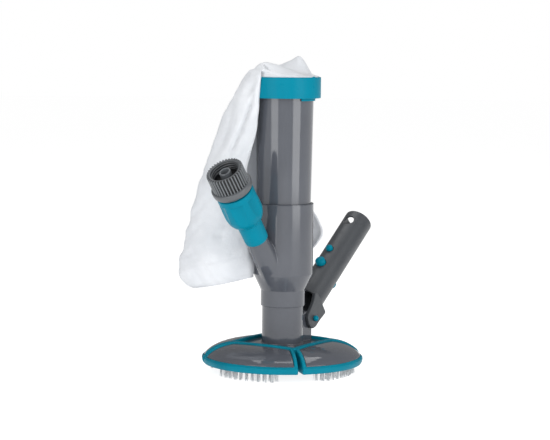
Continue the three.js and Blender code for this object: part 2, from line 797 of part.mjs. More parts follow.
add('clip_spring', clipSpring(), steel(), handle);

// The pivot pin runs across the fork and the lug; its domed head and the cap on its far end stand proud.
const pinDome = [
  [pinHeadRadius, cheekOuter + GAP],
  [pinHeadRadius, cheekOuter + pinHeadRise - 1.8],
  [pinHeadRadius * 0.8, cheekOuter + pinHeadRise - 0.6],
  [pinHeadRadius * 0.35, cheekOuter + pinHeadRise],
  [0, cheekOuter + pinHeadRise],
];
add('pivot_pin', turned([
  [0, -cheekOuter],
  [pivotRadius, -cheekOuter],
  [pivotRadius, cheekOuter + GAP],
  ...pinDome,
], SMALL).rotateY(Math.PI / 2), teal(), handle);
const cap = turned([[0, cheekOuter + GAP], ...pinDome], SMALL).rotateY(-Math.PI / 2);
add('pivot_cap', cap, teal(), handle);

export default group;
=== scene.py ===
import json
import math

import bpy
import numpy as np
from mathutils import Matrix, Vector


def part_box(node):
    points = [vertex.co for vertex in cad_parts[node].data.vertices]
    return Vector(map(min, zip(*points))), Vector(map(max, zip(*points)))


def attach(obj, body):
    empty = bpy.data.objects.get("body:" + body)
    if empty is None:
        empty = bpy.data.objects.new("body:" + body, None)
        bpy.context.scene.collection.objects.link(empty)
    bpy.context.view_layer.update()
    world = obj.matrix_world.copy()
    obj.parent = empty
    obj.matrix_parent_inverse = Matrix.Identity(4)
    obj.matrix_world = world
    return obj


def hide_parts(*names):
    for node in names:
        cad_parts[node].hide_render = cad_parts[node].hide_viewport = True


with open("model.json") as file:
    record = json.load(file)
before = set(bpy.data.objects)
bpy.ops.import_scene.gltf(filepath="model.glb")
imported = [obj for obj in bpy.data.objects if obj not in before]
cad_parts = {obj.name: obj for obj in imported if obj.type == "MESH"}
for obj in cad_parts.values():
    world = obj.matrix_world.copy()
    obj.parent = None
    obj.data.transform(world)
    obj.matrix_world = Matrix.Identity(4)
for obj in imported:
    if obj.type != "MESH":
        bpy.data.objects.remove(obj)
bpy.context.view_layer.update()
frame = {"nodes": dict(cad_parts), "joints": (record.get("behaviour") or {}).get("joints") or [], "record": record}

# Looks for the jet pool vacuum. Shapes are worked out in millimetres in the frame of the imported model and
# scaled to metres when a mesh is made.

MM = 0.001
DEG = math.pi / 180
SMOOTH_SIDES = 160  # steps round a large tube
RANDOM = np.random.default_rng(20)

# ---------------------------------------------------------------- places from the frame

joints = {joint["name"]: joint for joint in frame["joints"]}


def box(node):
    """Lowest and highest corner of a CAD node, in millimetres."""
    low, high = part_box(node)
    return np.array(low) / MM, np.array(high) / MM


def local_frame(origin, along):
    """Frame with its Z along the given direction and its X along the row's X. origin is in millimetres."""
    z = Vector(along).normalized()
    x = Vector((1, 0, 0))
    y = z.cross(x)
    return Matrix.Translation(origin) @ Matrix((x, y, z)).transposed().to_4x4()


swivel = joints["hose_nut_swivel"]
SWIVEL_ALONG = 155  # where the nut's joint sits along the branch
branch_axis = np.array(swivel["axis"], float)
branch_axis /= np.linalg.norm(branch_axis)
branch_foot = np.array(swivel["pos_m"]) / MM - SWIVEL_ALONG * branch_axis
BRANCH = local_frame(branch_foot, branch_axis)

pivot = np.array(joints["handle_hinge"]["pos_m"]) / MM
handle_end = next(m for m in frame["record"]["mounts"] if m["name"] == "pole_handle_end")
HANDLE = local_frame(pivot, handle_end["axis"])

riser_low, riser_high = box("riser_tube")
ring_low, ring_high = box("bag_collar")
wye_low, wye_high = box("wye_body")
neck_low, _ = box("neck")
head_low, head_high = box("head_frame")

RING_RADIUS = ring_high[0]
RISER_FOOT_RADIUS = 27.8
RISER_HEAD_RADIUS = riser_high[0]
BARREL_RADIUS = wye_high[0]
BARREL_TOP = 174
NECK_RADIUS = 21.3
HEAD_RADIUS = head_high[0]

# ---------------------------------------------------------------- distance fields
# Solids with blended edges are written as signed distances, negative inside, and turned into even quads.


def soft_min(a, b, width):
    h = np.maximum(width - np.abs(a - b), 0) / width
    return np.minimum(a, b) - h * h * width / 4


def soft_max(a, b, width):
    return -soft_min(-a, -b, width)


def cut_from(solid, tool, width):
    return soft_max(solid, -tool, width)


def outline_distance(outline, u, v):
    """Signed distance from (u, v) to a closed outline of corners."""
    nearest = np.full(u.shape, np.inf)
    inside = np.zeros(u.shape, bool)
    corners = np.asarray(outline, float)
    for (au, av), (bu, bv) in zip(corners, np.roll(corners, -1, axis=0)):
        eu, ev = bu - au, bv - av
        wu, wv = u - au, v - av
        t = np.clip((wu * eu + wv * ev) / (eu * eu + ev * ev), 0, 1)
        nearest = np.minimum(nearest, (wu - t * eu) ** 2 + (wv - t * ev) ** 2)
        if av != bv:
            inside ^= ((av > v) != (bv > v)) & (u < eu * (v - av) / (bv - av) + au)
    return np.where(inside, -1, 1) * np.sqrt(nearest)


def rounded_square(half, radius, x, y):
    dx, dy = np.abs(x) - half + radius, np.abs(y) - half + radius
    outside = np.hypot(np.maximum(dx, 0), np.maximum(dy, 0))
    return outside + np.minimum(np.maximum(dx, dy), 0) - radius


def gradient(field, points, reach):
    slopes = []
    for axis in range(3):
        step = np.zeros(3)
        step[axis] = reach
        ahead = field(*(points + step).T)
        behind = field(*(points - step).T)
        slopes.append((ahead - behind) / (2 * reach))
    return np.stack(slopes, axis=1)


def surface_net(field, low, high, step):
    """Vertices, quads and normals of the zero surface of field(x, y, z), on a grid of the given step."""
    chunk = 6
    low, high = np.asarray(low, float), np.asarray(high, float)
    blocks = np.ceil((high - low) / (step * chunk)).astype(int)
    middles = np.meshgrid(*[low[a] + (np.arange(blocks[a]) + 0.5) * chunk * step for a in range(3)],
                          indexing="ij")
    coarse = field(*[m.ravel() for m in middles]).reshape(blocks)
    near = np.argwhere(np.abs(coarse) < 1.25 * chunk * step)
    values = np.sign(coarse).astype(np.float32)
    for axis in range(3):
        values = np.repeat(values, chunk, axis=axis)
    values = np.pad(values, ((0, 1),) * 3, mode="edge")
    offsets = np.stack(np.meshgrid(*[np.arange(chunk + 1)] * 3, indexing="ij"), -1).reshape(-1, 3)
    for start in range(0, len(near), 4000):
        index = (near[start:start + 4000, None, :] * chunk + offsets[None]).reshape(-1, 3)
        place = low + index * step
        values[index[:, 0], index[:, 1], index[:, 2]] = field(place[:, 0], place[:, 1], place[:, 2])

    inside = values < 0
    corner_index = [(i, j, k) for i in (0, 1) for j in (0, 1) for k in (0, 1)]
    cells = np.array(values.shape) - 1

    def corner(array, i, j, k):
        return array[i:i + cells[0], j:j + cells[1], k:k + cells[2]]

    count = sum(corner(inside, *c).astype(np.int8) for c in corner_index)
    mixed = (count > 0) & (count < 8)
    where = np.argwhere(mixed)
    corner_values = {c: corner(values, *c)[mixed] for c in corner_index}
    total = np.zeros((len(where), 3))
    crossings = np.zeros(len(where))
    for a in corner_index:
        for axis in range(3):
            if a[axis]:
                continue
            b = tuple(1 if n == axis else a[n] for n in range(3))
            va, vb = corner_values[a], corner_values[b]
            cross = (va < 0) != (vb < 0)
            t = np.where(cross, va / np.where(cross, va - vb, 1), 0)
            point = np.array(a, float)[None].repeat(len(where), 0)
            point[:, axis] += t
            total += point * cross[:, None]
            crossings += cross
    vertices = low + (where + total / crossings[:, None]) * step

    number = np.full(tuple(cells), -1, np.int64)
    number[mixed] = np.arange(len(where))
    quads = []
    for axis in range(3):
        u, v = (axis + 1) % 3, (axis + 2) % 3
        first = np.moveaxis(inside, (axis, u, v), (0, 1, 2))
        ids = np.moveaxis(number, (axis, u, v), (0, 1, 2))
        a, b = first[:-1, 1:-1, 1:-1], first[1:, 1:-1, 1:-1]
        for flip, change in ((False, a & ~b), (True, ~a & b)):
            i, j, k = np.argwhere(change).T
            loop = [ids[i, j, k], ids[i, j + 1, k], ids[i, j + 1, k + 1], ids[i, j, k + 1]]
            quads.append(np.stack(loop[::-1] if flip else loop, axis=1))
    quads = np.concatenate(quads)

    for _ in range(4):
        distance = field(*vertices.T)
        slope = gradient(field, vertices, step * 0.05)
        size = np.maximum((slope ** 2).sum(1), 0.2)
        move = -(distance / size)[:, None] * slope
        length = np.linalg.norm(move, axis=1, keepdims=True)
        vertices = vertices + move * np.minimum(1, 0.5 * step / np.maximum(length, 1e-9))
    normals = gradient(field, vertices, step * 0.3)
    normals /= np.maximum(np.linalg.norm(normals, axis=1, keepdims=True), 1e-9)
    return vertices, quads, normals


# ---------------------------------------------------------------- meshes


def new_object(name, vertices, faces, material, place=None, normals=None):
    """Mesh object from millimetre vertices; place is a frame that they are given in."""
    vertices = np.asarray(vertices, float)
    if place is not None:
        turn = np.array(place.to_3x3())
        vertices = vertices @ turn.T + np.array(place.translation)
        if normals is not None:
            normals = normals @ turn.T
    mesh = bpy.data.meshes.new(name)
    mesh.from_pydata((vertices * MM).tolist(), [], [list(map(int, f)) for f in faces])
    mesh.validate()
    mesh.shade_smooth()
    if normals is not None:
        mesh.normals_split_custom_set_from_vertices(normals.tolist())
    obj = bpy.data.objects.new(name, mesh)
    bpy.context.scene.collection.objects.link(obj)
    mesh.materials.append(material)
    return obj


def as_piece(obj, body, slot, *nodes):
    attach(obj, body)
    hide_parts(*nodes)
    return obj


def filleted(outline, steps=5):
    """Closed outline of (u, v, radius) corners with each corner rounded to its radius."""
    points = []
    for i, (u, v, radius) in enumerate(outline):
        corner = np.array((u, v), float)
        before = np.array(outline[i - 1][:2], float) - corner
        after = np.array(outline[(i + 1) % len(outline)][:2], float) - corner
        back, ahead = np.linalg.norm(before), np.linalg.norm(after)
        before, after = before / back, after / ahead
        half = math.acos(float(np.clip(before @ after, -1, 1))) / 2
        if radius <= 0 or half > 1.55:
            points.append(corner)
            continue
        reach = min(radius / math.tan(half), 0.49 * min(back, ahead))
        start, end = corner + before * reach, corner + after * reach
        for t in np.linspace(0, 1, steps + 1):
            points.append((1 - t) ** 2 * start + 2 * t * (1 - t) * corner + t * t * end)
    return np.array(points)


def held_flat(points, near=0.25, longest=6):
    """The outline with extra points on its long straight runs, so that smooth shading keeps them straight."""
    result = []
    for a, b in zip(points, np.roll(points, -1, axis=0)):
        result.append(a)
        length = np.linalg.norm(b - a)
        if length > 4 * near:
            count = max(1, int(length // longest))
            inner = np.linspace(near / length, 1 - near / length, count + 1)
            result += [a + (b - a) * t for t in inner]
    return np.array(result)


def turned(name, outline, material, sides=SMOOTH_SIDES, place=None, steps=5):
    """Closed outline of (radius, height, corner radius) turned about Z."""
    points = held_flat(filleted(outline, steps))
    if np.cross(points, np.roll(points, -1, axis=0)).sum() < 0:
        points = points[::-1]
    angles = around(sides)
    rows = len(points)
    radius, height = points[:, 0], points[:, 1]
    vertices = np.stack([
        radius[:, None] * np.cos(angles),
        radius[:, None] * np.sin(angles),
        np.repeat(height[:, None], sides, axis=1),
    ], axis=-1).reshape(-1, 3)
    return new_object(name, vertices, grid_quads(rows, sides, closed=True), material, place)


def grid_quads(rows, sides, closed=False):
    """Quads between rows of points that are loops; closed joins the last row to the first."""
    i, j = np.meshgrid(np.arange(rows if closed else rows - 1), np.arange(sides), indexing="ij")
    i2, j2 = (i + 1) % rows, (j + 1) % sides
    return np.stack([i * sides + j, i * sides + j2, i2 * sides + j2, i2 * sides + j], -1).reshape(-1, 4)


def tube_faces(rows, sides):
    """Faces of a solid of rows of loops, facing out when loops turn anticlockwise seen from the first."""
    first, last = list(range(sides)), [(rows - 1) * sides + j for j in range(sides)]
    return grid_quads(rows, sides)[:, ::-1].tolist() + [first, last[::-1]]


def around(sides):
    return np.arange(sides) * 2 * math.pi / sides


class Build:
    """A mesh put together from several closed parts."""

    def __init__(self):
        self.vertices, self.faces, self.count = [], [], 0

    def take(self, vertices, faces):
        self.vertices.append(np.asarray(vertices, float))
        self.faces += [[self.count + k for k in face] for face in faces]
        self.count += len(vertices)

    def mesh(self):
        return np.concatenate(self.vertices), self.faces


def net_piece(name, field, low, high, step, material, body, slot, node, place=None):
    """Piece made from a distance field."""
    vertices, faces, normals = surface_net(field, low, high, step)
    return as_piece(new_object(name, vertices, faces, material, place, normals), body, slot, node)


# ---------------------------------------------------------------- materials


def linear(hex_colour):
    channels = [int(hex_colour[i:i + 2], 16) / 255 for i in (1, 3, 5)]
    return tuple(c / 12.92 if c <= 0.04045 else ((c + 0.055) / 1.055) ** 2.4 for c in channels) + (1,)


class Recipe:
    """A node material under construction."""

    def __init__(self, name):
        self.material = bpy.data.materials.new(name)
        self.material.use_nodes = True
        self.tree = self.material.node_tree
        self.shader = self.tree.nodes["Principled BSDF"]
        self.place = self.node("ShaderNodeTexCoord").outputs["Object"]

    def node(self, kind, **settings):
        made = self.tree.nodes.new(kind)
        for key, value in settings.items():
            setattr(made, key, value)
        return made

    def link(self, source, target):
        self.tree.links.new(source, target)

    def noise(self, size_mm, detail=3, roughness=0.5, place=None):
        """Noise whose lumps are about size_mm across."""
        made = self.node("ShaderNodeTexNoise")
        made.inputs["Scale"].default_value = 1 / (size_mm * MM)
        made.inputs["Detail"].default_value = detail
        made.inputs["Roughness"].default_value = roughness
        self.link(place or self.place, made.inputs["Vector"])
        return made.outputs["Fac"]

    def spread(self, value, low, high, start=0.3, end=0.7):
        """Maps a 0 to 1 value to the range low to high."""
        made = self.node("ShaderNodeMapRange")
        for key, number in (("From Min", start), ("From Max", end), ("To Min", low), ("To Max", high)):
            made.inputs[key].default_value = number
        self.link(value, made.inputs["Value"])
        return made.outputs["Result"]

    def between(self, factor, first, second):
        made = self.node("ShaderNodeMix", data_type="RGBA")
        self.link(factor, made.inputs["Factor"])
        for socket, colour in ((made.inputs["A"], first), (made.inputs["B"], second)):
            if isinstance(colour, tuple):
                socket.default_value = colour
            else:
                self.link(colour, socket)
        return made.outputs["Result"]

    def maths(self, operation, a, b):
        made = self.node("ShaderNodeMath", operation=operation)
        for socket, value in zip(made.inputs, (a, b)):
            if isinstance(value, (int, float)):
                socket.default_value = value
            else:
                self.link(value, socket)
        return made.outputs["Value"]

    def bump(self, height, depth_mm, strength=1.0, after=None):
        made = self.node("ShaderNodeBump")
        made.inputs["Strength"].default_value = strength
        made.inputs["Distance"].default_value = depth_mm * MM
        self.link(height, made.inputs["Height"])
        if after is not None:
            self.link(after, made.inputs["Normal"])
        return made.outputs["Normal"]

    def set(self, **values):
        for key, value in values.items():
            socket = self.shader.inputs[key.replace("_", " ")]
            if isinstance(value, bpy.types.NodeSocket):
                self.link(value, socket)
            else:
                socket.default_value = value
        return self.material


def moulded(name, colour, darker, roughness, grain_mm=0.5, grain_depth=0.012, level=0.5):
    """Moulded plastic: faint flow mottling, a fine grain, and gloss that varies a little."""
    r = Recipe(name)
    mottle = r.noise(34, detail=4)
    fine = r.noise(grain_mm, detail=2)
    tone = r.between(r.spread(mottle, 0, 1), linear(darker), linear(colour))
    gloss = r.spread(r.noise(9, detail=5), roughness * 0.88, roughness * 1.14)
    ripple = r.bump(r.noise(14, detail=1), 0.03, 0.35)
    return r.set(
        Base_Color=tone,
        Roughness=gloss,
        Specular_IOR_Level=level,
        Normal=r.bump(fine, grain_depth, 0.6, ripple),
    )


grey_plastic = moulded("grey_plastic", "#4e5158", "#484b52", 0.1, level=0.6)
panel_plastic = moulded("panel_plastic", "#50535a", "#4a4d54", 0.06, level=0.6)
handle_plastic = moulded("handle_plastic", "#404347", "#3b3e42", 0.42, grain_mm=0.35, grain_depth=0.03)
nut_plastic = moulded("nut_plastic", "#5f6367", "#56595d", 0.36, grain_mm=0.4, grain_depth=0.02)
dark_plastic = moulded("dark_plastic", "#4a4d51", "#424549", 0.4)
teal_plastic = moulded("teal_plastic", "#027b92", "#027389", 0.3, grain_depth=0.02, level=0.06)
teal_rubber = moulded("teal_rubber", "#02778c", "#026b7f", 0.42, grain_mm=0.3, grain_depth=0.03, level=0.08)
black_rubber = moulded("black_rubber", "#1c1d1f", "#141516", 0.6, grain_mm=0.3, grain_depth=0.03)


def ribbed_material():
    """The nut's plastic with painted shade: pale on the rib tops, and painted near-black down in the grooves and
    inside the thread.
    """
    r = Recipe("ribbed_plastic_painted_shade")
    crest = r.node("ShaderNodeAttribute", attribute_name="crest").outputs["Fac"]
    mottle = r.noise(6, detail=4)
    pale = r.between(mottle, linear("#6a6e72"), linear("#5f6367"))
    return r.set(
        # painted shade: the crest attribute colours the grooves and the bore near-black and the rib tops pale
        Base_Color=r.between(crest, linear("#161719"), pale),
        Roughness=r.spread(mottle, 0.32, 0.4),
        Normal=r.bump(r.noise(0.4, detail=2), 0.02, 0.6),
    )


def spring_steel_material():
    r = Recipe("spring_steel")
    streaks = r.node("ShaderNodeMapping")
    streaks.inputs["Scale"].default_value = (1, 1, 14)
    r.link(r.place, streaks.inputs["Vector"])
    brushed = r.noise(0.6, detail=3, place=streaks.outputs["Vector"])
    return r.set(
        Base_Color=r.between(brushed, linear("#a9adb1"), linear("#c6c9cc")),
        Metallic=1.0,
        Roughness=r.spread(brushed, 0.24, 0.36),
        Normal=r.bump(brushed, 0.01, 0.4),
    )


def nylon_material():
    """Clear bristle nylon: pale, glossy and partly see-through."""
    r = Recipe("bristle_nylon")
    tone = r.between(r.noise(3, detail=3), linear("#b4b9bd"), linear("#dce0e3"))
    return r.set(
        Base_Color=tone,
        Roughness=r.spread(r.noise(2), 0.3, 0.45),
        Transmission_Weight=0.35,
        IOR=1.3,
        # painted light: a faint white glow of the bristles' own, which brightens the clear tufts
        Emission_Color=(1, 1, 1, 1),
        Emission_Strength=0.03,
        Normal=r.bump(r.noise(0.5), 0.01, 0.3),
    )


def fabric_material():
    """Fine white plain weave: threads both ways, slightly see-through, with soft uneven tension."""
    r = Recipe("bag_fabric")
    cloth = r.node("ShaderNodeUVMap", uv_map="weave").outputs["UV"]
    threads = []
    for direction in ("X", "Y"):
        wave = r.node("ShaderNodeTexWave", wave_type="BANDS", bands_direction=direction)
        wave.inputs["Scale"].default_value = 420
        wave.inputs["Distortion"].default_value = 0.6
        r.link(cloth, wave.inputs["Vector"])
        threads.append(wave.outputs["Fac"])
    weave = r.maths("MULTIPLY", *threads)
    tension = r.noise(5, detail=4)
    tone = r.between(r.spread(r.noise(30, detail=3), 0, 1), linear("#d5d8dc"), linear("#e2e4e7"))
    rumple = r.bump(tension, 0.9, 0.7)
    material = r.set(
        Base_Color=tone,
        Roughness=r.spread(tension, 0.78, 0.9),
        Sheen_Weight=0.25,
        # painted light: a faint bluish-white glow of the cloth's own, which lifts its shaded folds
        Emission_Color=(0.93, 0.95, 1, 1),
        Emission_Strength=0.08,
        Normal=r.bump(weave, 0.12, 0.5, rumple),
    )
    glow = r.node("ShaderNodeBsdfTranslucent")
    r.link(tone, glow.inputs["Color"])
    blend = r.node("ShaderNodeMixShader")
    blend.inputs["Fac"].default_value = 0.3
    r.link(r.shader.outputs["BSDF"], blend.inputs[1])
    r.link(glow.outputs["BSDF"], blend.inputs[2])
    r.link(blend.outputs["Shader"], r.tree.nodes["Material Output"].inputs["Surface"])
    return material


ribbed_plastic_painted_shade = ribbed_material()
bag_fabric = fabric_material()
spring_steel = spring_steel_material()
bristle_nylon = nylon_material()

# ---------------------------------------------------------------- camera, light, floor


def aim_camera():
    """Camera at the product shot's angle: 35 degrees round to the right, a little above the middle."""
    azimuth, pitch, yaw, roll = 35 * DEG, 5.48 * DEG, 0.259 * DEG, 0.56 * DEG
    away, height = 1940, 342
    forward = Vector((-math.sin(azimuth), math.cos(azimuth), 0))
    right = Vector((math.cos(azimuth), math.sin(azimuth), 0))
    forward, right = (forward * math.cos(yaw) - right * math.sin(yaw),
                      right * math.cos(yaw) + forward * math.sin(yaw))
    look = forward * math.cos(pitch) - Vector((0, 0, 1)) * math.sin(pitch)
    up = right.cross(look)
    side = right * math.cos(roll) + up * math.sin(roll)
    top = side.cross(look)
    data = bpy.data.cameras.new("camera")
    data.lens, data.sensor_width, data.clip_end = 124.5, 36, 100
    camera = bpy.data.objects.new("camera", data)
    place = Matrix((side, top, -look)).transposed().to_4x4()
    place.translation = Vector((math.sin(azimuth) * away, -math.cos(azimuth) * away, height)) * MM
    camera.matrix_world = place
    bpy.context.scene.collection.objects.link(camera)
    bpy.context.scene.camera = camera


def area_light(name, azimuth, distance, height, width, tall, power, aim=(0, 0, 0.16)):
    """Softbox; azimuth is measured from -Y towards +X, in degrees, and lengths are in metres."""
    data = bpy.data.lights.new(name, "AREA")
    data.shape = "RECTANGLE"
    data.size, data.size_y, data.energy = width, tall, power
    light = bpy.data.objects.new(name, data)
    a = azimuth * DEG
    spot = Vector((math.sin(a) * distance, -math.cos(a) * distance, height))
    light.location = spot
    light.rotation_euler = (spot - Vector(aim)).to_track_quat("Z", "Y").to_euler()
    bpy.context.scene.collection.objects.link(light)
    return light


def light_scene():
    area_light("softbox_left", 35 - 40, 1.5, 0.45, 0.8, 1.9, 12.5)
    area_light("softbox_right", 35 + 50, 1.5, 0.45, 0.9, 1.9, 17)
    area_light("softbox_top", 35, -0.45, 1.7, 1.3, 1.1, 10)
    fill = area_light("fill_front", 35, 1.9, 0.5, 1.2, 1.2, 13)
    fill.visible_glossy = False
    world = bpy.data.worlds.new("studio")
    bpy.context.scene.world = world
    world.use_nodes = True
    tree = world.node_tree
    seen = tree.nodes.new("ShaderNodeLightPath")
    bright = tree.nodes["Background"]
    bright.inputs["Color"].default_value = (1, 1, 1, 1)
    bright.inputs["Strength"].default_value = 1.0
    dim = tree.nodes.new("ShaderNodeBackground")
    dim.inputs["Color"].default_value = (1, 1, 1, 1)
    dim.inputs["Strength"].default_value = 0.3
    mix = tree.nodes.new("ShaderNodeMixShader")
    tree.links.new(seen.outputs["Is Camera Ray"], mix.inputs[0])
    tree.links.new(dim.outputs[0], mix.inputs[1])
    tree.links.new(bright.outputs[0], mix.inputs[2])
    tree.links.new(mix.outputs[0], tree.nodes["World Output"].inputs["Surface"])
    bpy.context.scene.view_settings.view_transform = "Standard"


def lay_floor():
    """A wide round sheet of pale card."""
    r = Recipe("floor_card")
    tone = r.between(r.noise(60, detail=4), linear("#b4b4b4"), linear("#b8b8b8"))
    card = r.set(Base_Color=tone, Roughness=0.9, Normal=r.bump(r.noise(2), 0.02, 0.2),
                 Emission_Color=(1, 1, 1, 1), Emission_Strength=0.84)
    rings, sides, radius = 12, 96, 9000
    reach = radius * (np.arange(1, rings + 1) / rings) ** 2
    vertices = [(0, 0, 0)] + [(r_ * math.cos(a), r_ * math.sin(a), 0) for r_ in reach for a in around(sides)]
    faces = [(0, 1 + j, 1 + (j + 1) % sides) for j in range(sides)]
    faces += (1 + grid_quads(rings, sides)[:, ::-1]).tolist()
    floor = new_object("floor", vertices, faces, card)


aim_camera()
light_scene()
lay_floor()

# ---------------------------------------------------------------- brush head

HEAD_TURN = 3 * DEG
RIM_BOTTOM, RIM_WIDEST = head_low[2], 14.2
PANEL_EDGE, PANEL_EDGE_Z = 80.2, 17.8
PLATE_TOP, PLATE_HALF = 29.6, 35.2
FLANGE_TOP, FLANGE_BOTTOM, FLANGE_RADIUS = 26.8, neck_low[2], 52.7
DOME_TOP, DOME_BASE, DOME_FLAT, DOME_RADIUS = 31.2, 16.3, 30, 81
BEAD_RISE = 1.5
SQUARE_HALF, SQUARE_BEAD = 38, 5
SLIT_START, SLIT_IN, SLIT_OUT, SLIT_BEAD = 55.5, 1.25, 2.5, 3.5
GAP = 0.3


def dome_height(radius):
    t = np.maximum(0, (radius - DOME_FLAT) / (DOME_RADIUS - DOME_FLAT))
    return DOME_BASE + (DOME_TOP - DOME_BASE) * np.maximum(0, 1 - t ** 3) ** 0.75


dome_radii = [DOME_FLAT, 38, 45, 51, 56, 60.5, 64.5, 68, 71, 73.5, 75.6, 77.3, 78.6, 79.6]
dome_line = [(r, float(dome_height(np.float64(r)))) for r in dome_radii]
dome_outline = [(-5, -60), (-5, DOME_TOP)] + dome_line + [(PANEL_EDGE, PANEL_EDGE_Z), (PANEL_EDGE, -60)]
rim_outline = filleted([
    (PANEL_EDGE - 0.8, PANEL_EDGE_Z + 2.2, 0), (PANEL_EDGE + 0.1, PANEL_EDGE_Z + 0.6, 0.5),
    (HEAD_RADIUS - 1.5, RIM_WIDEST + 2.5, 0.8), (HEAD_RADIUS - 0.1, RIM_WIDEST + 1.2, 1),
    (HEAD_RADIUS, RIM_WIDEST - 0.6, 1), (HEAD_RADIUS - 0.5, RIM_WIDEST - 2.8, 1),
    (HEAD_RADIUS - 1.7, RIM_BOTTOM, 0.9), (-5, RIM_BOTTOM, 0)], 4)
cap_outline = [(-5, DOME_TOP + BEAD_RISE)] + [(r, z + BEAD_RISE) for r, z in dome_line[:-1]]
cap_outline += list(rim_outline)


def above_dome(x, y, z, lift=0.0):
    """Distance outside the dome that the panels follow, raised by lift."""
    return outline_distance(dome_outline, np.hypot(x, y), z - lift)


def slit_distance(x, y, margin):
    """Plan distance from the sides of the four diagonal slits, grown by margin, and place along a slit."""
    u = (np.abs(x) + np.abs(y)) * math.sqrt(0.5)
    v = np.abs(np.abs(x) - np.abs(y)) * math.sqrt(0.5)
    t = (u - SLIT_START) / (HEAD_RADIUS - SLIT_START)
    half = SLIT_IN + (SLIT_OUT - SLIT_IN) * t + margin
    return v - half, u


def head_field(x, y, z):
    radius = np.hypot(x, y)
    cap = outline_distance(cap_outline, radius, z)
    rim = PANEL_EDGE + GAP - radius
    square = np.maximum(
        rounded_square(SQUARE_HALF + SQUARE_BEAD / 2, 4, x, y),
        -rounded_square(SQUARE_HALF - SQUARE_BEAD / 2, 2, x, y),
    )
    across, u = slit_distance(x, y, SLIT_BEAD)
    walls = np.maximum(across, 52.5 - u)
    rubber = soft_max(cap, soft_min(soft_min(rim, square, 1.2), walls, 1.2), 0.9)
    rubber = cut_from(rubber, np.maximum(radius - FLANGE_RADIUS - 2 * GAP, z - FLANGE_TOP - GAP), 0.4)
    slit, u = slit_distance(x, y, 0)
    return cut_from(rubber, np.maximum(slit, SLIT_START - u), 1.2)


def build_head():
    reach = HEAD_RADIUS + 1.5
    low, high = (-reach, -reach, RIM_BOTTOM - 1.5), (reach, reach, DOME_TOP + 3)
    net_piece("head_rubber", head_field, low, high, 0.62, teal_rubber, "base", "teal_rubber", "head_frame",
              Matrix.Rotation(HEAD_TURN, 4, "Z"))


PAD_INNER, PANEL_WALL = 60, 2.4
STRIP_INNER, STRIP_OUTER, STRIP_TOP, STRIP_HALF = 64, 76, 12.6, 30 * DEG
STRIP_MIDDLE = (STRIP_INNER + STRIP_OUTER) / 2
TUFT_ROWS, TUFTS, TUFT_HALF = (66.8, 73.2), 11, 27 * DEG
FILAMENTS, FILAMENT_RADIUS = 13, 0.24


def panel_field(x, y, z):
    """The panel that faces +X."""
    radius = np.hypot(x, y)
    shell = np.maximum(above_dome(x, y, z), RIM_BOTTOM + 0.6 - z)
    across, _ = slit_distance(x, y, SLIT_BEAD + GAP)
    shell = soft_max(shell, -across, 0.9)
    shell = soft_max(shell, SQUARE_HALF + SQUARE_BEAD / 2 + GAP - x, 0.9)
    shell = np.maximum(shell, np.abs(y) - x)
    hollow = np.maximum(above_dome(x, y, z, -PANEL_WALL), radius - PAD_INNER)
    shell = cut_from(shell, hollow, 0.6)
    groove = np.maximum(np.abs(radius - STRIP_MIDDLE) - 6 - GAP, z - STRIP_TOP - GAP)
    groove = np.maximum(groove, (np.abs(np.arctan2(y, x)) - STRIP_HALF) * STRIP_MIDDLE)
    return cut_from(shell, groove, 0.3)


SIDES = {"right": 0, "back": 90, "left": 180, "front": 270}


def build_panels():
    low, high = (38, -62, RIM_BOTTOM - 1), (83, 62, DOME_TOP + 2)
    vertices, faces, normals = surface_net(panel_field, low, high, 0.62)
    for side, degrees in SIDES.items():
        place = Matrix.Rotation(degrees * DEG + HEAD_TURN, 4, "Z")
        panel = new_object(f"panel_{side}", vertices, faces, panel_plastic, place, normals)
        as_piece(panel, "base", "panel_plastic", f"petal_{side}")


def bristle_mesh(root, tip, radius, sides=5, rows=4):
    """One tapering, slightly curved bristle."""
    root, tip = np.array(root), np.array(tip)
    bow = RANDOM.normal(0, 0.25, 2)
    rings = []
    for k in range(rows + 1):
        t = k / rows
        centre = root + (tip - root) * t + np.append(bow * math.sin(math.pi * t), 0)
        size = radius * (1 - 0.35 * t)
        angles = around(sides)
        rings.append(centre + size * np.stack([np.cos(angles), np.sin(angles), 0 * angles], 1))
    return np.concatenate(rings), tube_faces(rows + 1, sides)


def build_bristles():
    """Curved bars with two rows of clear tufts."""
    for side, degrees in SIDES.items():
        strip = Build()
        corners = filleted([(STRIP_INNER, RIM_BOTTOM + 0.4, 0.6), (STRIP_OUTER, RIM_BOTTOM + 0.4, 0.6),
                            (STRIP_OUTER, STRIP_TOP, 0.3), (STRIP_INNER, STRIP_TOP, 0.3)], 3)
        angles = np.linspace(-STRIP_HALF, STRIP_HALF, 41)
        bar = [(r * math.cos(a), r * math.sin(a), z) for a in angles for r, z in corners]
        strip.take(bar, tube_faces(len(angles), len(corners)))
        for row, radius in enumerate(TUFT_ROWS):
            for i in range(TUFTS - row):
                angle = TUFT_HALF * ((2 * i + row) / (TUFTS - 1) - 1)
                middle = np.array([radius * math.cos(angle), radius * math.sin(angle)])
                for _ in range(FILAMENTS):
                    spot = RANDOM.normal(0, 0.62, 2)
                    lean = spot * 0.55 + RANDOM.normal(0, 0.35, 2)
                    low = RANDOM.uniform(0.0, 0.5)
                    root = (*(middle + spot), STRIP_TOP - 1.5)
                    tip = (*(middle + spot + lean), low)
                    strip.take(*bristle_mesh(root, tip, FILAMENT_RADIUS))
        brush = new_object(f"bristles_{side}", *strip.mesh(), bristle_nylon,
                           Matrix.Rotation(degrees * DEG + HEAD_TURN, 4, "Z"))
        as_piece(brush, "base", "bristle_nylon", f"brush_strip_{side}")


# ---------------------------------------------------------------- neck and wye body

LUG_HALF, EAR_RADIUS, LUG_BACK = 13.2, 7.6, 34.4
PIN_RADIUS, NECK_BORE = 2.2, 18.4


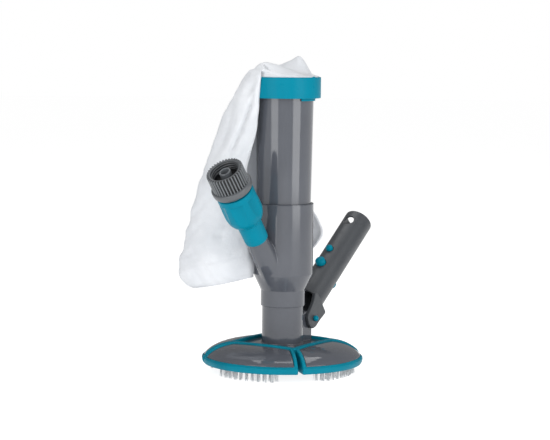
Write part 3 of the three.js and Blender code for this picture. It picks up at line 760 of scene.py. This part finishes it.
def neck_field(x, y, z):
    radius = np.hypot(x, y)
    px = x * math.cos(HEAD_TURN) + y * math.sin(HEAD_TURN)
    py = y * math.cos(HEAD_TURN) - x * math.sin(HEAD_TURN)
    plate = soft_max(rounded_square(PLATE_HALF, 2, px, py),
                     np.abs(z - (FLANGE_BOTTOM + PLATE_TOP) / 2) - (PLATE_TOP - FLANGE_BOTTOM) / 2, 0.9)
    flange = soft_max(np.maximum(rounded_square(46, 6, px, py), radius - FLANGE_RADIUS),
                      np.abs(z - (FLANGE_BOTTOM + FLANGE_TOP) / 2) - (FLANGE_TOP - FLANGE_BOTTOM) / 2, 0.5)
    tube = soft_max(radius - NECK_RADIUS, np.abs(z - 54) - 30, 1.0)
    ear, lug_top = pivot[1] + EAR_RADIUS, pivot[2] + EAR_RADIUS
    lug_side = outline_distance(filleted([
        (12, 28, 0), (LUG_BACK, 28, 0), (LUG_BACK, 42.6, 2), (ear, 46.2, 3), (ear, lug_top, 7),
        (NECK_RADIUS + 4, lug_top, 3), (NECK_RADIUS - 2, lug_top - 3, 0), (12, lug_top - 3, 0)], 8), y, z)
    lug = soft_max(lug_side, np.abs(x) - LUG_HALF, 1.2)
    body = soft_min(soft_min(plate, flange, 0.8), tube, 0.7)
    body = soft_min(body, lug, 0.9)
    pin = np.hypot(y - pivot[1], z - pivot[2]) - PIN_RADIUS - GAP
    body = cut_from(body, pin, 0.3)
    return cut_from(body, radius - NECK_BORE, 0.6)


def to_branch(x, y, z):
    """Row coordinates in the branch's frame."""
    return [a * x + b * y + c * z + d for a, b, c, d in np.array(BRANCH.inverted())[:3]]


COLLAR_RADIUS, COLLAR_BOTTOM, CONE_BOTTOM, CONE_TOP = 22.8, wye_low[2], 84.5, 101
SOCKET_BOTTOM = 150
BRANCH_RADIUS, BRANCH_ROOT, BRANCH_BORE, BRANCH_END = 11, 12.5, 8.8, 97
TAPER_START, TAPER_LENGTH = 50, 24  # where the branch narrows from its root to its end
BODY_BORE = 25.8

wye_outline = filleted([
    (-5, COLLAR_BOTTOM, 0), (COLLAR_RADIUS, COLLAR_BOTTOM, 0.9), (COLLAR_RADIUS, CONE_BOTTOM, 0.7),
    (BARREL_RADIUS, CONE_TOP, 1.6), (BARREL_RADIUS, BARREL_TOP, 0.9), (-5, BARREL_TOP, 0)], 4)
wye_bore = filleted([
    (-5, COLLAR_BOTTOM - 3, 0), (NECK_RADIUS + GAP, COLLAR_BOTTOM - 3, 0), (NECK_RADIUS + GAP, 84.3, 0.4),
    (NECK_BORE, 84.3, 0.4), (NECK_BORE, 87, 0.5), (BODY_BORE, 103, 1), (BODY_BORE, SOCKET_BOTTOM, 0.3),
    (RISER_FOOT_RADIUS + GAP, SOCKET_BOTTOM, 0.3), (RISER_FOOT_RADIUS + GAP, BARREL_TOP + 3, 0),
    (-5, BARREL_TOP + 3, 0)], 3)


def wye_field(x, y, z):
    radius = np.hypot(x, y)
    barrel = outline_distance(wye_outline, radius, z)
    bx, by, bz = to_branch(x, y, z)
    taper = np.clip((bz - TAPER_START) / TAPER_LENGTH, 0, 1)
    arm_radius = BRANCH_ROOT + (BRANCH_RADIUS - BRANCH_ROOT) * taper
    arm = soft_max(np.hypot(bx, by) - arm_radius, np.abs(bz - TAPER_START) - (BRANCH_END - TAPER_START), 0.8)
    body = soft_min(barrel, arm, 1.6)
    body = cut_from(body, outline_distance(wye_bore, radius, z), 0.5)
    return cut_from(body, np.maximum(np.hypot(bx, by) - BRANCH_BORE, 12 - bz), 0.5)


def build_body():
    neck_corners = (-48, -48, FLANGE_BOTTOM - 1), (48, 48, 85.5)
    net_piece("neck_shell", neck_field, *neck_corners, 0.62, grey_plastic, "base", "grey_plastic", "neck")
    wye_corners = wye_low - 1.5, wye_high + 1.5
    net_piece("wye_shell", wye_field, *wye_corners, 0.72, grey_plastic, "base", "grey_plastic", "wye_body")
    foot, top = riser_low[2], riser_high[2]
    wall = 2
    riser = turned("riser_shell", [
        (RISER_FOOT_RADIUS, foot, 0.4), (RISER_FOOT_RADIUS, BARREL_TOP, 0), (RISER_HEAD_RADIUS, top, 0.6),
        (RISER_HEAD_RADIUS - wall, top, 0.6), (RISER_FOOT_RADIUS - wall, foot, 0.4)], grey_plastic)
    as_piece(riser, "base", "grey_plastic", "riser_tube")


# ---------------------------------------------------------------- hose inlet

SLEEVE_START, SLEEVE_END, COUPLER_END = 77, 100.6, 142
COUPLER_RADIUS = 19.6
NUT_START, NUT_FLANGE_END, NUT_END, NUT_BORE = 142.4, 150.2, 168, 14.8
SPIGOT_RADIUS, SPIGOT_BORE, SPIGOT_END = 6, 4.4, 166.6
THREAD_PITCH = 2.8

LOCK_AT = 129.7  # where the spigot seats inside the coupler
coupler_outline = filleted([
    (BRANCH_BORE, SLEEVE_END + GAP, 0), (13.2, SLEEVE_END + GAP, 0.4), (16.2, SLEEVE_END + 3.2, 2),
    (18.2, SLEEVE_END + 7.2, 4), (COUPLER_RADIUS - 0.1, SLEEVE_END + 12.5, 6),
    (COUPLER_RADIUS, SLEEVE_END + 21, 8), (COUPLER_RADIUS - 0.4, COUPLER_END - 6, 4),
    (COUPLER_RADIUS - 0.7, COUPLER_END - 2.6, 0.6), (COUPLER_RADIUS - 1.3, COUPLER_END - 1.8, 0.4),
    (16, COUPLER_END - 1.8, 0.2), (16, COUPLER_END, 0.2), (SPIGOT_RADIUS + GAP, COUPLER_END, 0),
    (SPIGOT_RADIUS + GAP, LOCK_AT, 0), (BRANCH_BORE, LOCK_AT, 0)], 5)


def coupler_field(x, y, z):
    radius = np.hypot(x, y)
    body = outline_distance(coupler_outline, radius, z)
    tilt = 3.5 * DEG
    for k in range(6):  # a shallow hollow for each finger
        a = (60 * k + 30) * DEG
        across = x * math.cos(a) + y * math.sin(a)
        out = -x * math.sin(a) + y * math.cos(a) + COUPLER_RADIUS + 24.7
        up = z - SLEEVE_END - 13
        panel = np.hypot(across, out * math.cos(tilt) - up * math.sin(tilt)) - 26
        along = np.abs(out * math.sin(tilt) + up * math.cos(tilt)) - 22
        body = cut_from(body, np.maximum(panel, along), 0.5)
    return body


def nut_rows():
    """Outline of the nut's wall, once round its section, as (radius, height, rib share, thread share)."""
    flange = [(6.4, 0), (10, 0), (18.6, 0), (19.3, 0.1), (19.9, 0.6), (20.5, 1.6), (20.8, 3), (20.9, 5),
              (20.85, 6.5), (20.5, 7.3), (19.9, 7.7)]
    shoulder = [(19.0, 0, 0.1), (18.1, 0.1, 0.9)]
    ribbed = [(17.9, 0.5 + k * 0.9, 1) for k in range(19)]
    lip = [(17.9, -0.5, 1), (17.75, -0.12, 0.96), (17.4, 0, 0.8), (16.6, 0, 0.05), (15.6, 0, 0),
           (15.2, -0.15, 0), (14.9, -0.7, 0)]
    thread = [(NUT_BORE, NUT_END - 1.3 - k * 0.3, 0, 1) for k in range(31)]
    inside = [(NUT_BORE, 157.2), (NUT_BORE, 152.8), (14.4, 152.3), (13.5, 152), (9, 152), (6.6, 152),
              (6.3, 151.6), (6.3, NUT_START + 0.4)]
    rows = [(r, NUT_START + h, 0, 0) for r, h in flange]
    rows += [(r, NUT_FLANGE_END + h, rib, 0) for r, h, rib in shoulder + ribbed]
    rows += [(r, NUT_END + h, rib, 0) for r, h, rib in lip]
    return rows + thread + [(r, h, 0, 0) for r, h in inside]


def build_nut():
    ribs, per_rib = 36, 14
    sides = ribs * per_rib
    share = (np.arange(sides) % per_rib) / per_rib
    # a rib's outline across: narrow groove, steep flanks, flat top
    wave = np.clip((np.abs(share - 0.5) - 0.14) / 0.12, 0, 1)
    wave = 1 - wave * wave * (3 - 2 * wave)
    angles = around(sides)
    vertices, painted_groove_shade = [], []
    for radius, height, rib, thread in nut_rows():
        turn = (height / THREAD_PITCH + angles / (2 * math.pi)) % 1
        crest = np.clip(1 - np.abs(turn - 0.5) / 0.22, 0, 1)
        ridge = thread * np.minimum(1, crest * 1.6)
        r = radius + rib * (2 * wave - 1) - ridge
        vertices.append(np.stack([r * np.cos(angles), r * np.sin(angles), np.full(sides, height)], 1))
        # painted shade: grooves between ribs go dark, outer plain rows mid-toned, rows in the bore near-black,
        # thread ridges a little paler
        plain = 0.6 if radius > NUT_BORE + 0.05 else 0.12
        painted_groove_shade.append(rib * wave + (1 - rib) * plain + 0.45 * ridge)
    faces = grid_quads(len(vertices), sides, closed=True)
    nut = new_object("nut_ribbed", np.concatenate(vertices), faces, ribbed_plastic_painted_shade, BRANCH)
    shade = nut.data.attributes.new("crest", "FLOAT", "POINT")
    shade.data.foreach_set("value", np.concatenate(painted_groove_shade))
    as_piece(nut, "swivel_nut", "nut_plastic", "hose_nut")


def build_inlet():
    sleeve = turned("sleeve_cuff", [
        (BRANCH_RADIUS + GAP, SLEEVE_START, 0.2), (BRANCH_RADIUS + 0.9, SLEEVE_START, 0.4),
        (BRANCH_RADIUS + 1.2, SLEEVE_START + 1.2, 1), (BRANCH_RADIUS + 1.6, SLEEVE_END, 0.5),
        (BRANCH_RADIUS + GAP, SLEEVE_END, 0.2)], teal_plastic, place=BRANCH)
    as_piece(sleeve, "base", "teal_plastic", "coupler_sleeve")
    corners = (-20.5, -20.5, 99.5), (20.5, 20.5, 143.5)
    net_piece("coupler_grip", coupler_field, *corners, 0.42, teal_plastic, "base", "teal_plastic",
              "coupler_body", BRANCH)
    spigot = turned("spigot_tube", [
        (SPIGOT_BORE, 130, 0.2), (SPIGOT_RADIUS, 130, 0.2), (SPIGOT_RADIUS, 152.4, 0.2), (9.6, 152.4, 0.3),
        (9.6, 154.2, 0.3), (SPIGOT_RADIUS, 154.2, 0.3), (SPIGOT_RADIUS, SPIGOT_END, 0.7),
        (SPIGOT_BORE, SPIGOT_END, 0.5)], nut_plastic, 64, BRANCH)
    as_piece(spigot, "base", "dark_plastic", "inlet_spigot")
    build_nut()


# ---------------------------------------------------------------- bag collar

RING_BOTTOM, RING_TOP = 281, 302.4
TONGUE_HALF = 22 * DEG


def collar_field(x, y, z):
    radius = np.hypot(x, y)
    angle = np.arctan2(y, np.abs(x))
    band = outline_distance(collar_band, radius, z)
    web = soft_max(np.abs(radius - 33.5) - 3, np.abs(z - RING_BOTTOM - 4) - 1, 0.3)
    sleeve = soft_max(np.abs(radius - 31.1) - 1, np.abs(z - 290.3) - 7.3, 0.5)
    stop = soft_max(np.abs(radius - 29.7) - 2.4, np.abs(z - 298) - 1, 0.4)
    tongue = soft_max(np.abs(radius - 31) - 0.95, np.abs(z - 281.8) - 3.4, 0.5)
    tongue = soft_max(tongue, (np.abs(angle) - TONGUE_HALF) * 31, 0.6)
    whole = soft_min(soft_min(band, web, 0.4), soft_min(sleeve, stop, 0.4), 0.3)
    nib = np.sqrt((x - 35.2) ** 2 + (y / 1.6) ** 2 + (z - RING_TOP + 0.5) ** 2) - 1.35
    return soft_min(soft_min(whole, tongue, 0.3), nib, 0.8)


collar_band = filleted([
    (RING_RADIUS - 2.4, RING_BOTTOM, 0.3), (RING_RADIUS, RING_BOTTOM, 0.8), (RING_RADIUS, RING_TOP, 0.9),
    (RING_RADIUS - 2.4, RING_TOP, 0.6)], 4)


def build_collar():
    net_piece("collar_shell", collar_field, ring_low - 1, ring_high + 1.2, 0.55, teal_plastic,
              "bag_assembly", "teal_plastic", "bag_collar")


# ---------------------------------------------------------------- filter bag
# The bag is worked out in the frame of its own fold: p runs to the right, q to the back, and z up.

BAG_TURN = 35 * DEG
MOUTH_RADIUS = 33.6
CLOTH = 0.4  # thickness of the woven cloth
AROUND, ALONG = 180, 210  # steps round the pouch and from its mouth to its hem
CROWN_ROWS, MOUTH_ROWS = 64, 8  # rows that cross over the collar, and the first of them, inside it
HUG_RADIUS = 33.4  # closest that the cloth comes to the middle of the collar
FRONT_TIP, BACK_TIP = 0, AROUND // 2  # columns where the two layers are folded on each other

# The hanging part, top to bottom: height at the left edge, left reach, sweep of the fold to the front and to
# the back in degrees, inner radius at the front tip and at the back tip, thickness, rise to the right.
HANGING = [
    (309, 37, 51, 98, 37.2, 38.0, 1.5, 0.0),
    (300, 43, 50, 100, 38.0, 38.5, 4.5, 0.0),
    (290, 48, 47, 103, 37.4, 38.0, 7.5, 0.0),
    (272, 57, 44, 106, 36.5, 36.0, 9.5, 0.0),
    (246, 69.5, 40, 112, 36.0, 35.5, 12.0, 0.0),
    (226, 75.5, 31, 117, 38.5, 35.5, 13.0, 0.0),
    (209, 81, 25, 120, 41.5, 35.5, 13.0, 0.0),
    (190, 88, 24, 124, 38.0, 36.5, 12.5, 0.0),
    (173, 92, 22, 130, 35.5, 39.5, 11.5, 0.0),
    (158, 95, 22, 139, 34.6, 44.0, 10.5, 0.0),
    (141, 100.5, 23, 146, 34.4, 48.0, 9.0, 0.0),
    (124, 104.5, 25, 138, 34.4, 39.0, 5.0, 0.0),
    (112, 107.5, 26, 112, 34.2, 35.5, 5.0, 0.04),
    (101, 108, 27, 92, 34.0, 36.0, 6.0, 0.09),
    (92, 105.5, 27, 80, 34.0, 36.0, 4.5, 0.15),
    (87, 101, 27, 72, 34.0, 36.0, 3.0, 0.20),
    (84.5, 94.5, 27, 68, 34.0, 36.0, 1.4, 0.22),
]

# Folds seen on the outside, each a line of (p, z) with its depth, half-width and the swell on its left side.
CREASES = [
    ([(-30, 288), (-36, 272), (-45, 247), (-55, 224), (-60, 212)], 3.4, 2.4, 2.2),
    ([(-57, 158), (-60, 152), (-66.5, 139), (-67, 127), (-65, 118)], 2.6, 2.2, 1.8),
    ([(-41, 204), (-52, 192), (-68, 180)], 1.6, 2.6, 1.0),
    ([(-96, 152), (-88, 164), (-74, 184)], 1.4, 2.6, 0.9),
    ([(-99, 134), (-90, 147), (-78, 158)], 1.3, 2.4, 0.8),
    ([(-72, 214), (-62, 236), (-55, 262), (-50, 284)], 1.4, 4.0, 1.0),
    ([(-36, 232), (-47, 218), (-60, 200), (-72, 190)], 1.2, 2.4, 0.9),
    ([(-35, 182), (-46, 170), (-56, 163)], 1.2, 2.2, 0.8),
    ([(-40, 132), (-52, 124), (-64, 112)], 1.0, 2.2, 0.7),
    ([(-88, 132), (-96, 121), (-103, 117)], 1.0, 2.0, 0.7),
]


def smooth_rows(rows, count):
    """Rows of numbers resampled evenly along their length by cubics."""
    rows = np.asarray(rows, float)
    length = np.concatenate([[0], np.cumsum(np.hypot(np.diff(rows[:, 0]), np.diff(rows[:, 1])))])
    slope = np.gradient(rows, length, axis=0)
    place = np.linspace(0, length[-1], count)
    k = np.clip(np.searchsorted(length, place, side="right") - 1, 0, len(rows) - 2)
    h = (length[k + 1] - length[k])[:, None]
    t = (place - length[k])[:, None] / h
    return ((1 + 2 * t) * (1 - t) ** 2 * rows[k] + t * (1 - t) ** 2 * h * slope[k]
            + t * t * (3 - 2 * t) * rows[k + 1] + t * t * (t - 1) * h * slope[k + 1])


def ease(t):
    t = np.clip(t, 0, 1)
    return t * t * (3 - 2 * t)


def crown_height(p, q):
    """Height of the cloth over the collar: a low front fold, a valley, and a higher fold behind it."""
    front_top = np.interp(p, [-46, -38, -33.7, -29.6, -25.5, -20, -12, -3, 8, 21, 30],
                          [300.5, 306, 310, 313.6, 316, 317.8, 315.6, 313.6, 309.5, 303, 302])
    back_top = np.interp(p, [-46, -35, -20, -5, 1, 7, 11, 14.5, 18.5, 22.5, 27, 32],
                         [299, 308, 312.5, 314, 317, 319.6, 322.4, 324.2, 320, 313.4, 305, 303])
    front_at, back_at = -20 + 0.06 * p, 15 + 0.1 * p
    front = np.exp(-np.abs((q - front_at) / np.where(q < front_at, 11, 13)) ** 2.4)
    back = np.exp(-np.abs((q - back_at) / np.where(q < back_at, 12, 14)) ** 2.4)
    base = 303.4 + 2.5 * np.exp(-(p * p + q * q) / 700)
    a = base + (front_top - base) * front
    b = base + (back_top - base) * back
    return soft_max(a, b, 3.0)


def hanging_row(row, s):
    """Outer and inner edge of one level of the hanging part; s is 0 at the front tip and 1 at the back."""
    z, reach, front, back, front_radius, back_radius, thick, rise = row
    angle = (-front + (front + back) * s) * DEG
    inner = front_radius + (back_radius - front_radius) * s ** 4
    hug = np.sin(math.pi * np.clip(s, 0, 1))
    inner = inner - np.minimum(inner - HUG_RADIUS, 3.0) * hug ** 2
    lobe = np.maximum(0, np.cos(angle - 6 * DEG)) ** 7 * np.sqrt(np.clip(s / 0.08, 0, 1))
    body = inner + thick * hug ** 0.45
    outer = body + np.maximum(0, reach - body) * lobe
    inner = inner + np.maximum(0, (reach - inner - thick * 0.75)) * lobe * 0.55 * hug ** 0.5
    edges = []
    for radius in (outer, inner):
        p, q = -radius * np.cos(angle), radius * np.sin(angle)
        edges.append(np.stack([p, q, z + rise * (p + reach)], axis=1))
    return edges


def line_distance(line, p, z):
    """Distance to an open line in (p, z), the sign of its side in p, and the share of its length passed."""
    best = np.full(p.shape, 1e9)
    side = np.zeros(p.shape)
    along = np.zeros(p.shape)
    line = np.asarray(line, float)
    run = np.concatenate([[0], np.cumsum(np.hypot(*np.diff(line, axis=0).T))])
    for k in range(len(line) - 1):
        a, b = line[k], line[k + 1]
        e = b - a
        t = np.clip(((p - a[0]) * e[0] + (z - a[1]) * e[1]) / (e @ e), 0, 1)
        dp, dz = p - a[0] - t * e[0], z - a[1] - t * e[1]
        distance = np.hypot(dp, dz)
        closer = distance < best
        best = np.where(closer, distance, best)
        side = np.where(closer, np.sign(dp), side)
        along = np.where(closer, (run[k] + t * (run[k + 1] - run[k])) / run[-1], along)
    return best, side, along


def bag_grid():
    """Points of the pouch in rows from the mouth to the hem: outer layer front to back, then inner layer."""
    even = np.linspace(0, 1, BACK_TIP + 1)
    s = 0.35 * (1 - np.cos(math.pi * even)) / 2 + 0.65 * even
    falling = [hanging_row(row, s) for row in smooth_rows(HANGING, ALONG - CROWN_ROWS)]
    first_outer, first_inner = falling[0]
    theta = math.pi * (s - 0.5)
    rows = []
    for k in range(CROWN_ROWS):
        lift = ease(min(1, k / MOUTH_ROWS))
        spread = MOUTH_RADIUS + 1.2 * lift
        right = np.stack([spread * np.cos(theta), spread * np.sin(theta)], 1)
        crossed = max(0, (k - MOUTH_ROWS) / (CROWN_ROWS - MOUTH_ROWS))
        cross = (ease(crossed) + crossed) / 2
        plan = right * (1 - cross) + first_outer[:, :2] * cross
        start = RING_TOP - 5 + 5.9 * lift
        top = crown_height(plan[:, 0], plan[:, 1])
        height = np.where(k < MOUTH_ROWS, start, start + (top - start) * ease((k - MOUTH_ROWS) / 10))
        height = height + (first_outer[:, 2] - height) * ease((cross - 0.86) / 0.14)
        outer = np.column_stack([plan, height])
        back = ease(k / CROWN_ROWS)
        plan_in = right * (-1, 1) * (1 - back) + first_inner[:, :2] * back
        height_in = start + (first_inner[:, 2] - 1.2 - start) * back
        height_in += 1.5 * math.sin(math.pi * k / CROWN_ROWS)
        rows.append((outer, np.column_stack([plan_in, height_in])))
    rows += falling
    return np.array([np.concatenate([outer, inner[::-1][1:-1]]) for outer, inner in rows])


def relaxed(grid, times, fixed_rows):
    """The grid with each point drawn towards its neighbours; fold tips move only along themselves."""
    for _ in range(times):
        across = (np.roll(grid, 1, 1) + np.roll(grid, -1, 1)) / 2
        along = grid.copy()
        along[1:-1] = (grid[2:] + grid[:-2]) / 2
        soft = 0.4 * grid + 0.3 * across + 0.3 * along
        for tip in (FRONT_TIP, BACK_TIP):
            soft[:, tip] = (0.4 * grid + 0.6 * along)[:, tip]
        grid[fixed_rows:-1] = soft[fixed_rows:-1]
    return grid


def grid_normals(grid):
    """Unit normals of the grid, pointing out of the pouch."""
    across = np.roll(grid, -1, 1) - np.roll(grid, 1, 1)
    normal = np.cross(across, np.gradient(grid, axis=0))
    return normal / np.maximum(np.linalg.norm(normal, axis=2, keepdims=True), 1e-9)


def bag_shape():
    """The hung pouch with its creases, drapes and small wrinkles."""
    grid = relaxed(bag_grid(), 5, MOUTH_ROWS + 1)
    normal = grid_normals(grid)
    rows, sides = grid.shape[:2]
    outer = np.arange(sides) <= BACK_TIP
    p, q, z = grid[..., 0], grid[..., 1], grid[..., 2]
    facing = np.clip(-normal[..., 1] * 1.6 + 0.3, 0, 1) * outer
    push = np.zeros(p.shape)
    for line, depth, width, swell in CREASES:
        distance, side, along = line_distance(line, p, z)
        fade = np.clip(np.minimum(along, 1 - along) * 5, 0, 1)
        push -= 1.3 * facing * depth * fade * np.exp(-np.abs(distance / width) ** 1.3)
        push += facing * swell * fade * (side < 0) * (distance / width / 2) * np.exp(1 - distance / width / 2)
    hanging = ease((306 - z) / 14)
    row = np.arange(rows)[:, None]
    edge = np.clip(np.minimum(row / 14, (rows - 1 - row) / 6), 0, 1)
    u = np.arange(sides) / sides
    drape = 1.1 * np.sin(2 * math.pi * (7 * u + 0.5 * np.sin(z / 41)))
    drape += 0.7 * np.sin(2 * math.pi * 13 * u + z / 23)
    push += hanging * edge * drape * 0.8
    fine = 0.28 * np.sin((p * 0.8 + z * 0.55) / 2.3 + 2.1 * np.sin(z / 17 + p / 13))
    fine += 0.22 * np.sin((p * 0.4 - z * 0.9) / 3.1 + 1.7 * np.sin(p / 11 - z / 29))
    push += 1.7 * edge * fine * (0.35 + 0.65 * ease((230 - z) / 60)) * outer
    crown = ease((z - 303.5) / 5) * outer
    pleats = 0.7 * np.sin(p / 4.4 + q / 9 + 1.3 * np.sin(q / 7)) + 0.4 * np.sin(q / 2.9 + p / 6)
    push += crown * edge * pleats
    pinch, *_ = line_distance([(-20, 315), (-13, 303)], p, z)
    push -= 3.6 * crown * (q < -8) * np.exp(-(pinch / 1.8) ** 2)
    hem = z - (83 + 0.23 * (p + 92)) - 25  # height above the hem band's top edge
    push += 0.55 * outer * ease(0.5 - hem / 0.9) * edge
    clear = np.hypot(p, q) > HUG_RADIUS - 0.2
    return grid + normal * (push * np.where(clear, 1, 0.3))[..., None]


def cloth_shell(name, grid, thickness, material):
    """A layer of cloth on each side of a grid of loops, its last loop sewn shut and its first one open."""
    rows, sides = grid.shape[:2]
    normal = grid_normals(grid)
    count, last = rows * sides, (rows - 1) * sides
    sewn = [[k, k + 1, sides - k - 1, (sides - k) % sides] for k in range(sides // 2)]
    faces = grid_quads(rows, sides).tolist() + [[last + k for k in dict.fromkeys(face)] for face in sewn]
    back = [[count + v for v in face[::-1]] for face in faces]
    rim = [[k, count + k, count + (k + 1) % sides, (k + 1) % sides] for k in range(sides)]
    skins = np.concatenate([grid + normal * thickness / 2, grid - normal * thickness / 2]).reshape(-1, 3)
    bag = new_object(name, skins, faces + back + rim, material, Matrix.Rotation(BAG_TURN, 4, "Z"))
    layer = bag.data.uv_layers.new(name="weave")
    u = np.cumsum(np.linalg.norm(np.roll(grid, -1, 1) - grid, axis=2).mean(0))
    v = np.cumsum(np.linalg.norm(np.diff(grid, axis=0), axis=2).mean(1))
    u, v = np.append(0, u), np.append(0, v)
    loops = np.zeros(len(bag.data.loops), np.int64)
    bag.data.loops.foreach_get("vertex_index", loops)
    cell = loops % count
    layer.data.foreach_set("uv", np.stack([u[cell % sides], v[cell // sides]], 1).ravel() * MM)
    return bag


def build_bag():
    bag = cloth_shell("bag_cloth", bag_shape(), CLOTH, bag_fabric)
    as_piece(bag, "bag_assembly", "bag_fabric", "mesh_bag")


# ---------------------------------------------------------------- pole handle

TUBE_OFFSET, TUBE_RADIUS, TUBE_BORE = 3.8, 15.1, 12.8
TUBE_START, WEB_START, TUBE_END = 21, 8, 142.9
CHEEK_INNER, CHEEK_OUTER = 13.5, 17.5
HANG_HOLE, HANG_AT = 5.9, 128.4
BIG_AT, BIG_RADIUS, BIG_RISE = 61.9, 5.3, 6.2
SMALL_AT, SMALL_RADIUS, SMALL_RISE = 82.9, 3.7, 4.4
ARM_TOP = 10.9
PIN_HEAD, PIN_RISE = 3.0, 4.4

# outline of a fork cheek as (down from the pivot, along the tube, corner radius)
cheek_outline = filleted([
    (-19.3, 16.6, 1), (-17.2, 14.2, 3), (-14.2, 8.6, 4), (-12, 0, 4), (-11.2, -5.2, 2.5), (-8.4, -9, 3),
    (-2.3, -11, 4), (3.4, -11, 3), (7, -8.2, 3), (8.8, -3.4, 3), (8.9, 5, 4), (9.7, 12, 4), (10.4, 17.6, 1.2),
    (8.6, 19, 1), (-4, 20.1, 4), (-14, 20.7, 2), (-17.6, 20.3, 2), (-19.3, 18.4, 1.4)], 5)
mouth_outline = filleted([
    (-24, 4, 0), (-24, TUBE_START, 0), (-13, TUBE_START, 3), (2, WEB_START, 2), (2, 4, 0)], 4)


def handle_field(x, y, z):
    up = y + TUBE_OFFSET
    radius = np.hypot(x, up)
    middle, half = (WEB_START + TUBE_END) / 2, (TUBE_END - WEB_START) / 2
    tube = soft_max(radius - TUBE_RADIUS, np.abs(z - middle) - half, 1.2)
    tube = cut_from(tube, outline_distance(mouth_outline, y, z), 0.8)
    cheek_slab = np.abs(np.abs(x) - (CHEEK_INNER + CHEEK_OUTER) / 2) - (CHEEK_OUTER - CHEEK_INNER) / 2
    cheeks = soft_max(outline_distance(cheek_outline, y, z), cheek_slab, 0.9)
    body = soft_min(tube, cheeks, 0.8)
    body = cut_from(body, radius - TUBE_BORE, 0.6)
    body = cut_from(body, np.hypot(y, z) - PIN_RADIUS - GAP, 0.3)
    body = cut_from(body, np.hypot(x, z - HANG_AT) - HANG_HOLE, 0.7)
    body = cut_from(body, np.hypot(x, z - BIG_AT) - BIG_RADIUS - GAP, 0.3)
    upper = np.maximum(np.hypot(x, z - SMALL_AT) - SMALL_RADIUS - GAP, up)
    return cut_from(body, upper, 0.3)


def stud_outline(radius, top):
    """Half outline of a domed button, from its foot to its crown."""
    rise = radius * 0.62
    dome = [(radius * math.cos(a), top - rise + rise * math.sin(a)) for a in np.linspace(0, math.pi / 2, 14)]
    return [(0, ARM_TOP - 1), (radius, ARM_TOP - 1)] + dome


def clip_mesh(studs):
    """An arm of the spring clip with its domed studs, in the handle's frame with up as -Y."""
    clip = Build()
    low, half = ARM_TOP - 2, 4.6
    bar = filleted([(-half, low, 0.4), (half, low, 0.4), (half, ARM_TOP, 0.7), (-half, ARM_TOP, 0.7)], 3)
    middle = bar.mean(0)
    ends = [(BIG_AT - 7, 0.92), (BIG_AT - 6.6, 1), (SMALL_AT + 8.6, 1), (SMALL_AT + 9, 0.92)]
    loops = [(*(middle + (c - middle) * inset), z) for z, inset in ends for c in bar]
    clip.take([(u, -v, z) for u, v, z in loops], [face[::-1] for face in tube_faces(len(ends), len(bar))])
    sides = 48
    for radius, at, rise in studs:
        (_, foot), *rows, (_, crown) = stud_outline(radius, TUBE_RADIUS + rise)
        points = [(r * math.cos(a), -h, at + r * math.sin(a)) for r, h in rows for a in around(sides)]
        points += [(0, -foot, at), (0, -crown, at)]
        foot_point, crown_point = len(points) - 2, len(points) - 1
        last = (len(rows) - 1) * sides
        stud = grid_quads(len(rows), sides)[:, ::-1].tolist()
        stud += [[foot_point, j, (j + 1) % sides] for j in range(sides)]
        stud += [[crown_point, last + (j + 1) % sides, last + j] for j in range(sides)]
        clip.take(points, stud)
    return clip.mesh()


def build_handle():
    corners = (-18.5, -20.5, -12.5), (18.5, 13.5, 144.5)
    net_piece("handle_shell", handle_field, *corners, 0.52, handle_plastic, "handle", "handle_plastic",
              "handle_tube", HANDLE)
    lift = Matrix.Translation((0, -TUBE_OFFSET, 0))
    big, small = (BIG_RADIUS, BIG_AT, BIG_RISE), (SMALL_RADIUS, SMALL_AT, SMALL_RISE)
    upper = new_object("clip_upper_studs", *clip_mesh([big, small]), teal_plastic, HANDLE @ lift)
    as_piece(upper, "clip_upper", "teal_plastic", "clip_arm_upper")
    over = Matrix.Rotation(math.pi, 4, "Z")
    lower = new_object("clip_lower_stud", *clip_mesh([big]), teal_plastic, HANDLE @ lift @ over)
    as_piece(lower, "clip_lower", "teal_plastic", "clip_arm_lower")
    dome = [(PIN_HEAD * math.cos(a), CHEEK_OUTER + PIN_RISE - 2.6 + 2.6 * math.sin(a), 0)
            for a in np.linspace(0, 1.45, 10)]
    head = [(PIN_HEAD, CHEEK_OUTER + GAP, 0.2)] + dome + [(0, CHEEK_OUTER + PIN_RISE, 0)]
    pin = [(0, -CHEEK_OUTER, 0), (PIN_RADIUS, -CHEEK_OUTER, 0.3), (PIN_RADIUS, CHEEK_OUTER + GAP, 0)] + head
    cap = [(0, CHEEK_OUTER + GAP, 0)] + head
    ends = ("pin_head", pin, 90, "pivot_pin"), ("pin_cap", cap, -90, "pivot_cap")
    for name, outline, quarter, node in ends:
        across = HANDLE @ Matrix.Rotation(quarter * DEG, 4, "Y")
        as_piece(turned(name, outline, teal_plastic, 64, across), "handle", "teal_plastic", node)


build_head()
build_panels()
build_bristles()
build_body()
build_inlet()
build_collar()
build_bag()
build_handle()

for node, material in {
    "jet_nozzle": dark_plastic,
    "hose_washer": black_rubber,
    "bag_retaining_ring": dark_plastic,
    "clip_spring": spring_steel,
    **{f"petal_screw_{side}": spring_steel for side in SIDES},
}.items():
    slots = frame["nodes"][node].data.materials
    slots.clear()
    slots.append(material)
    frame["nodes"][node].data.shade_smooth()
    frame["nodes"][node].data.set_sharp_from_angle(angle=35 * DEG)
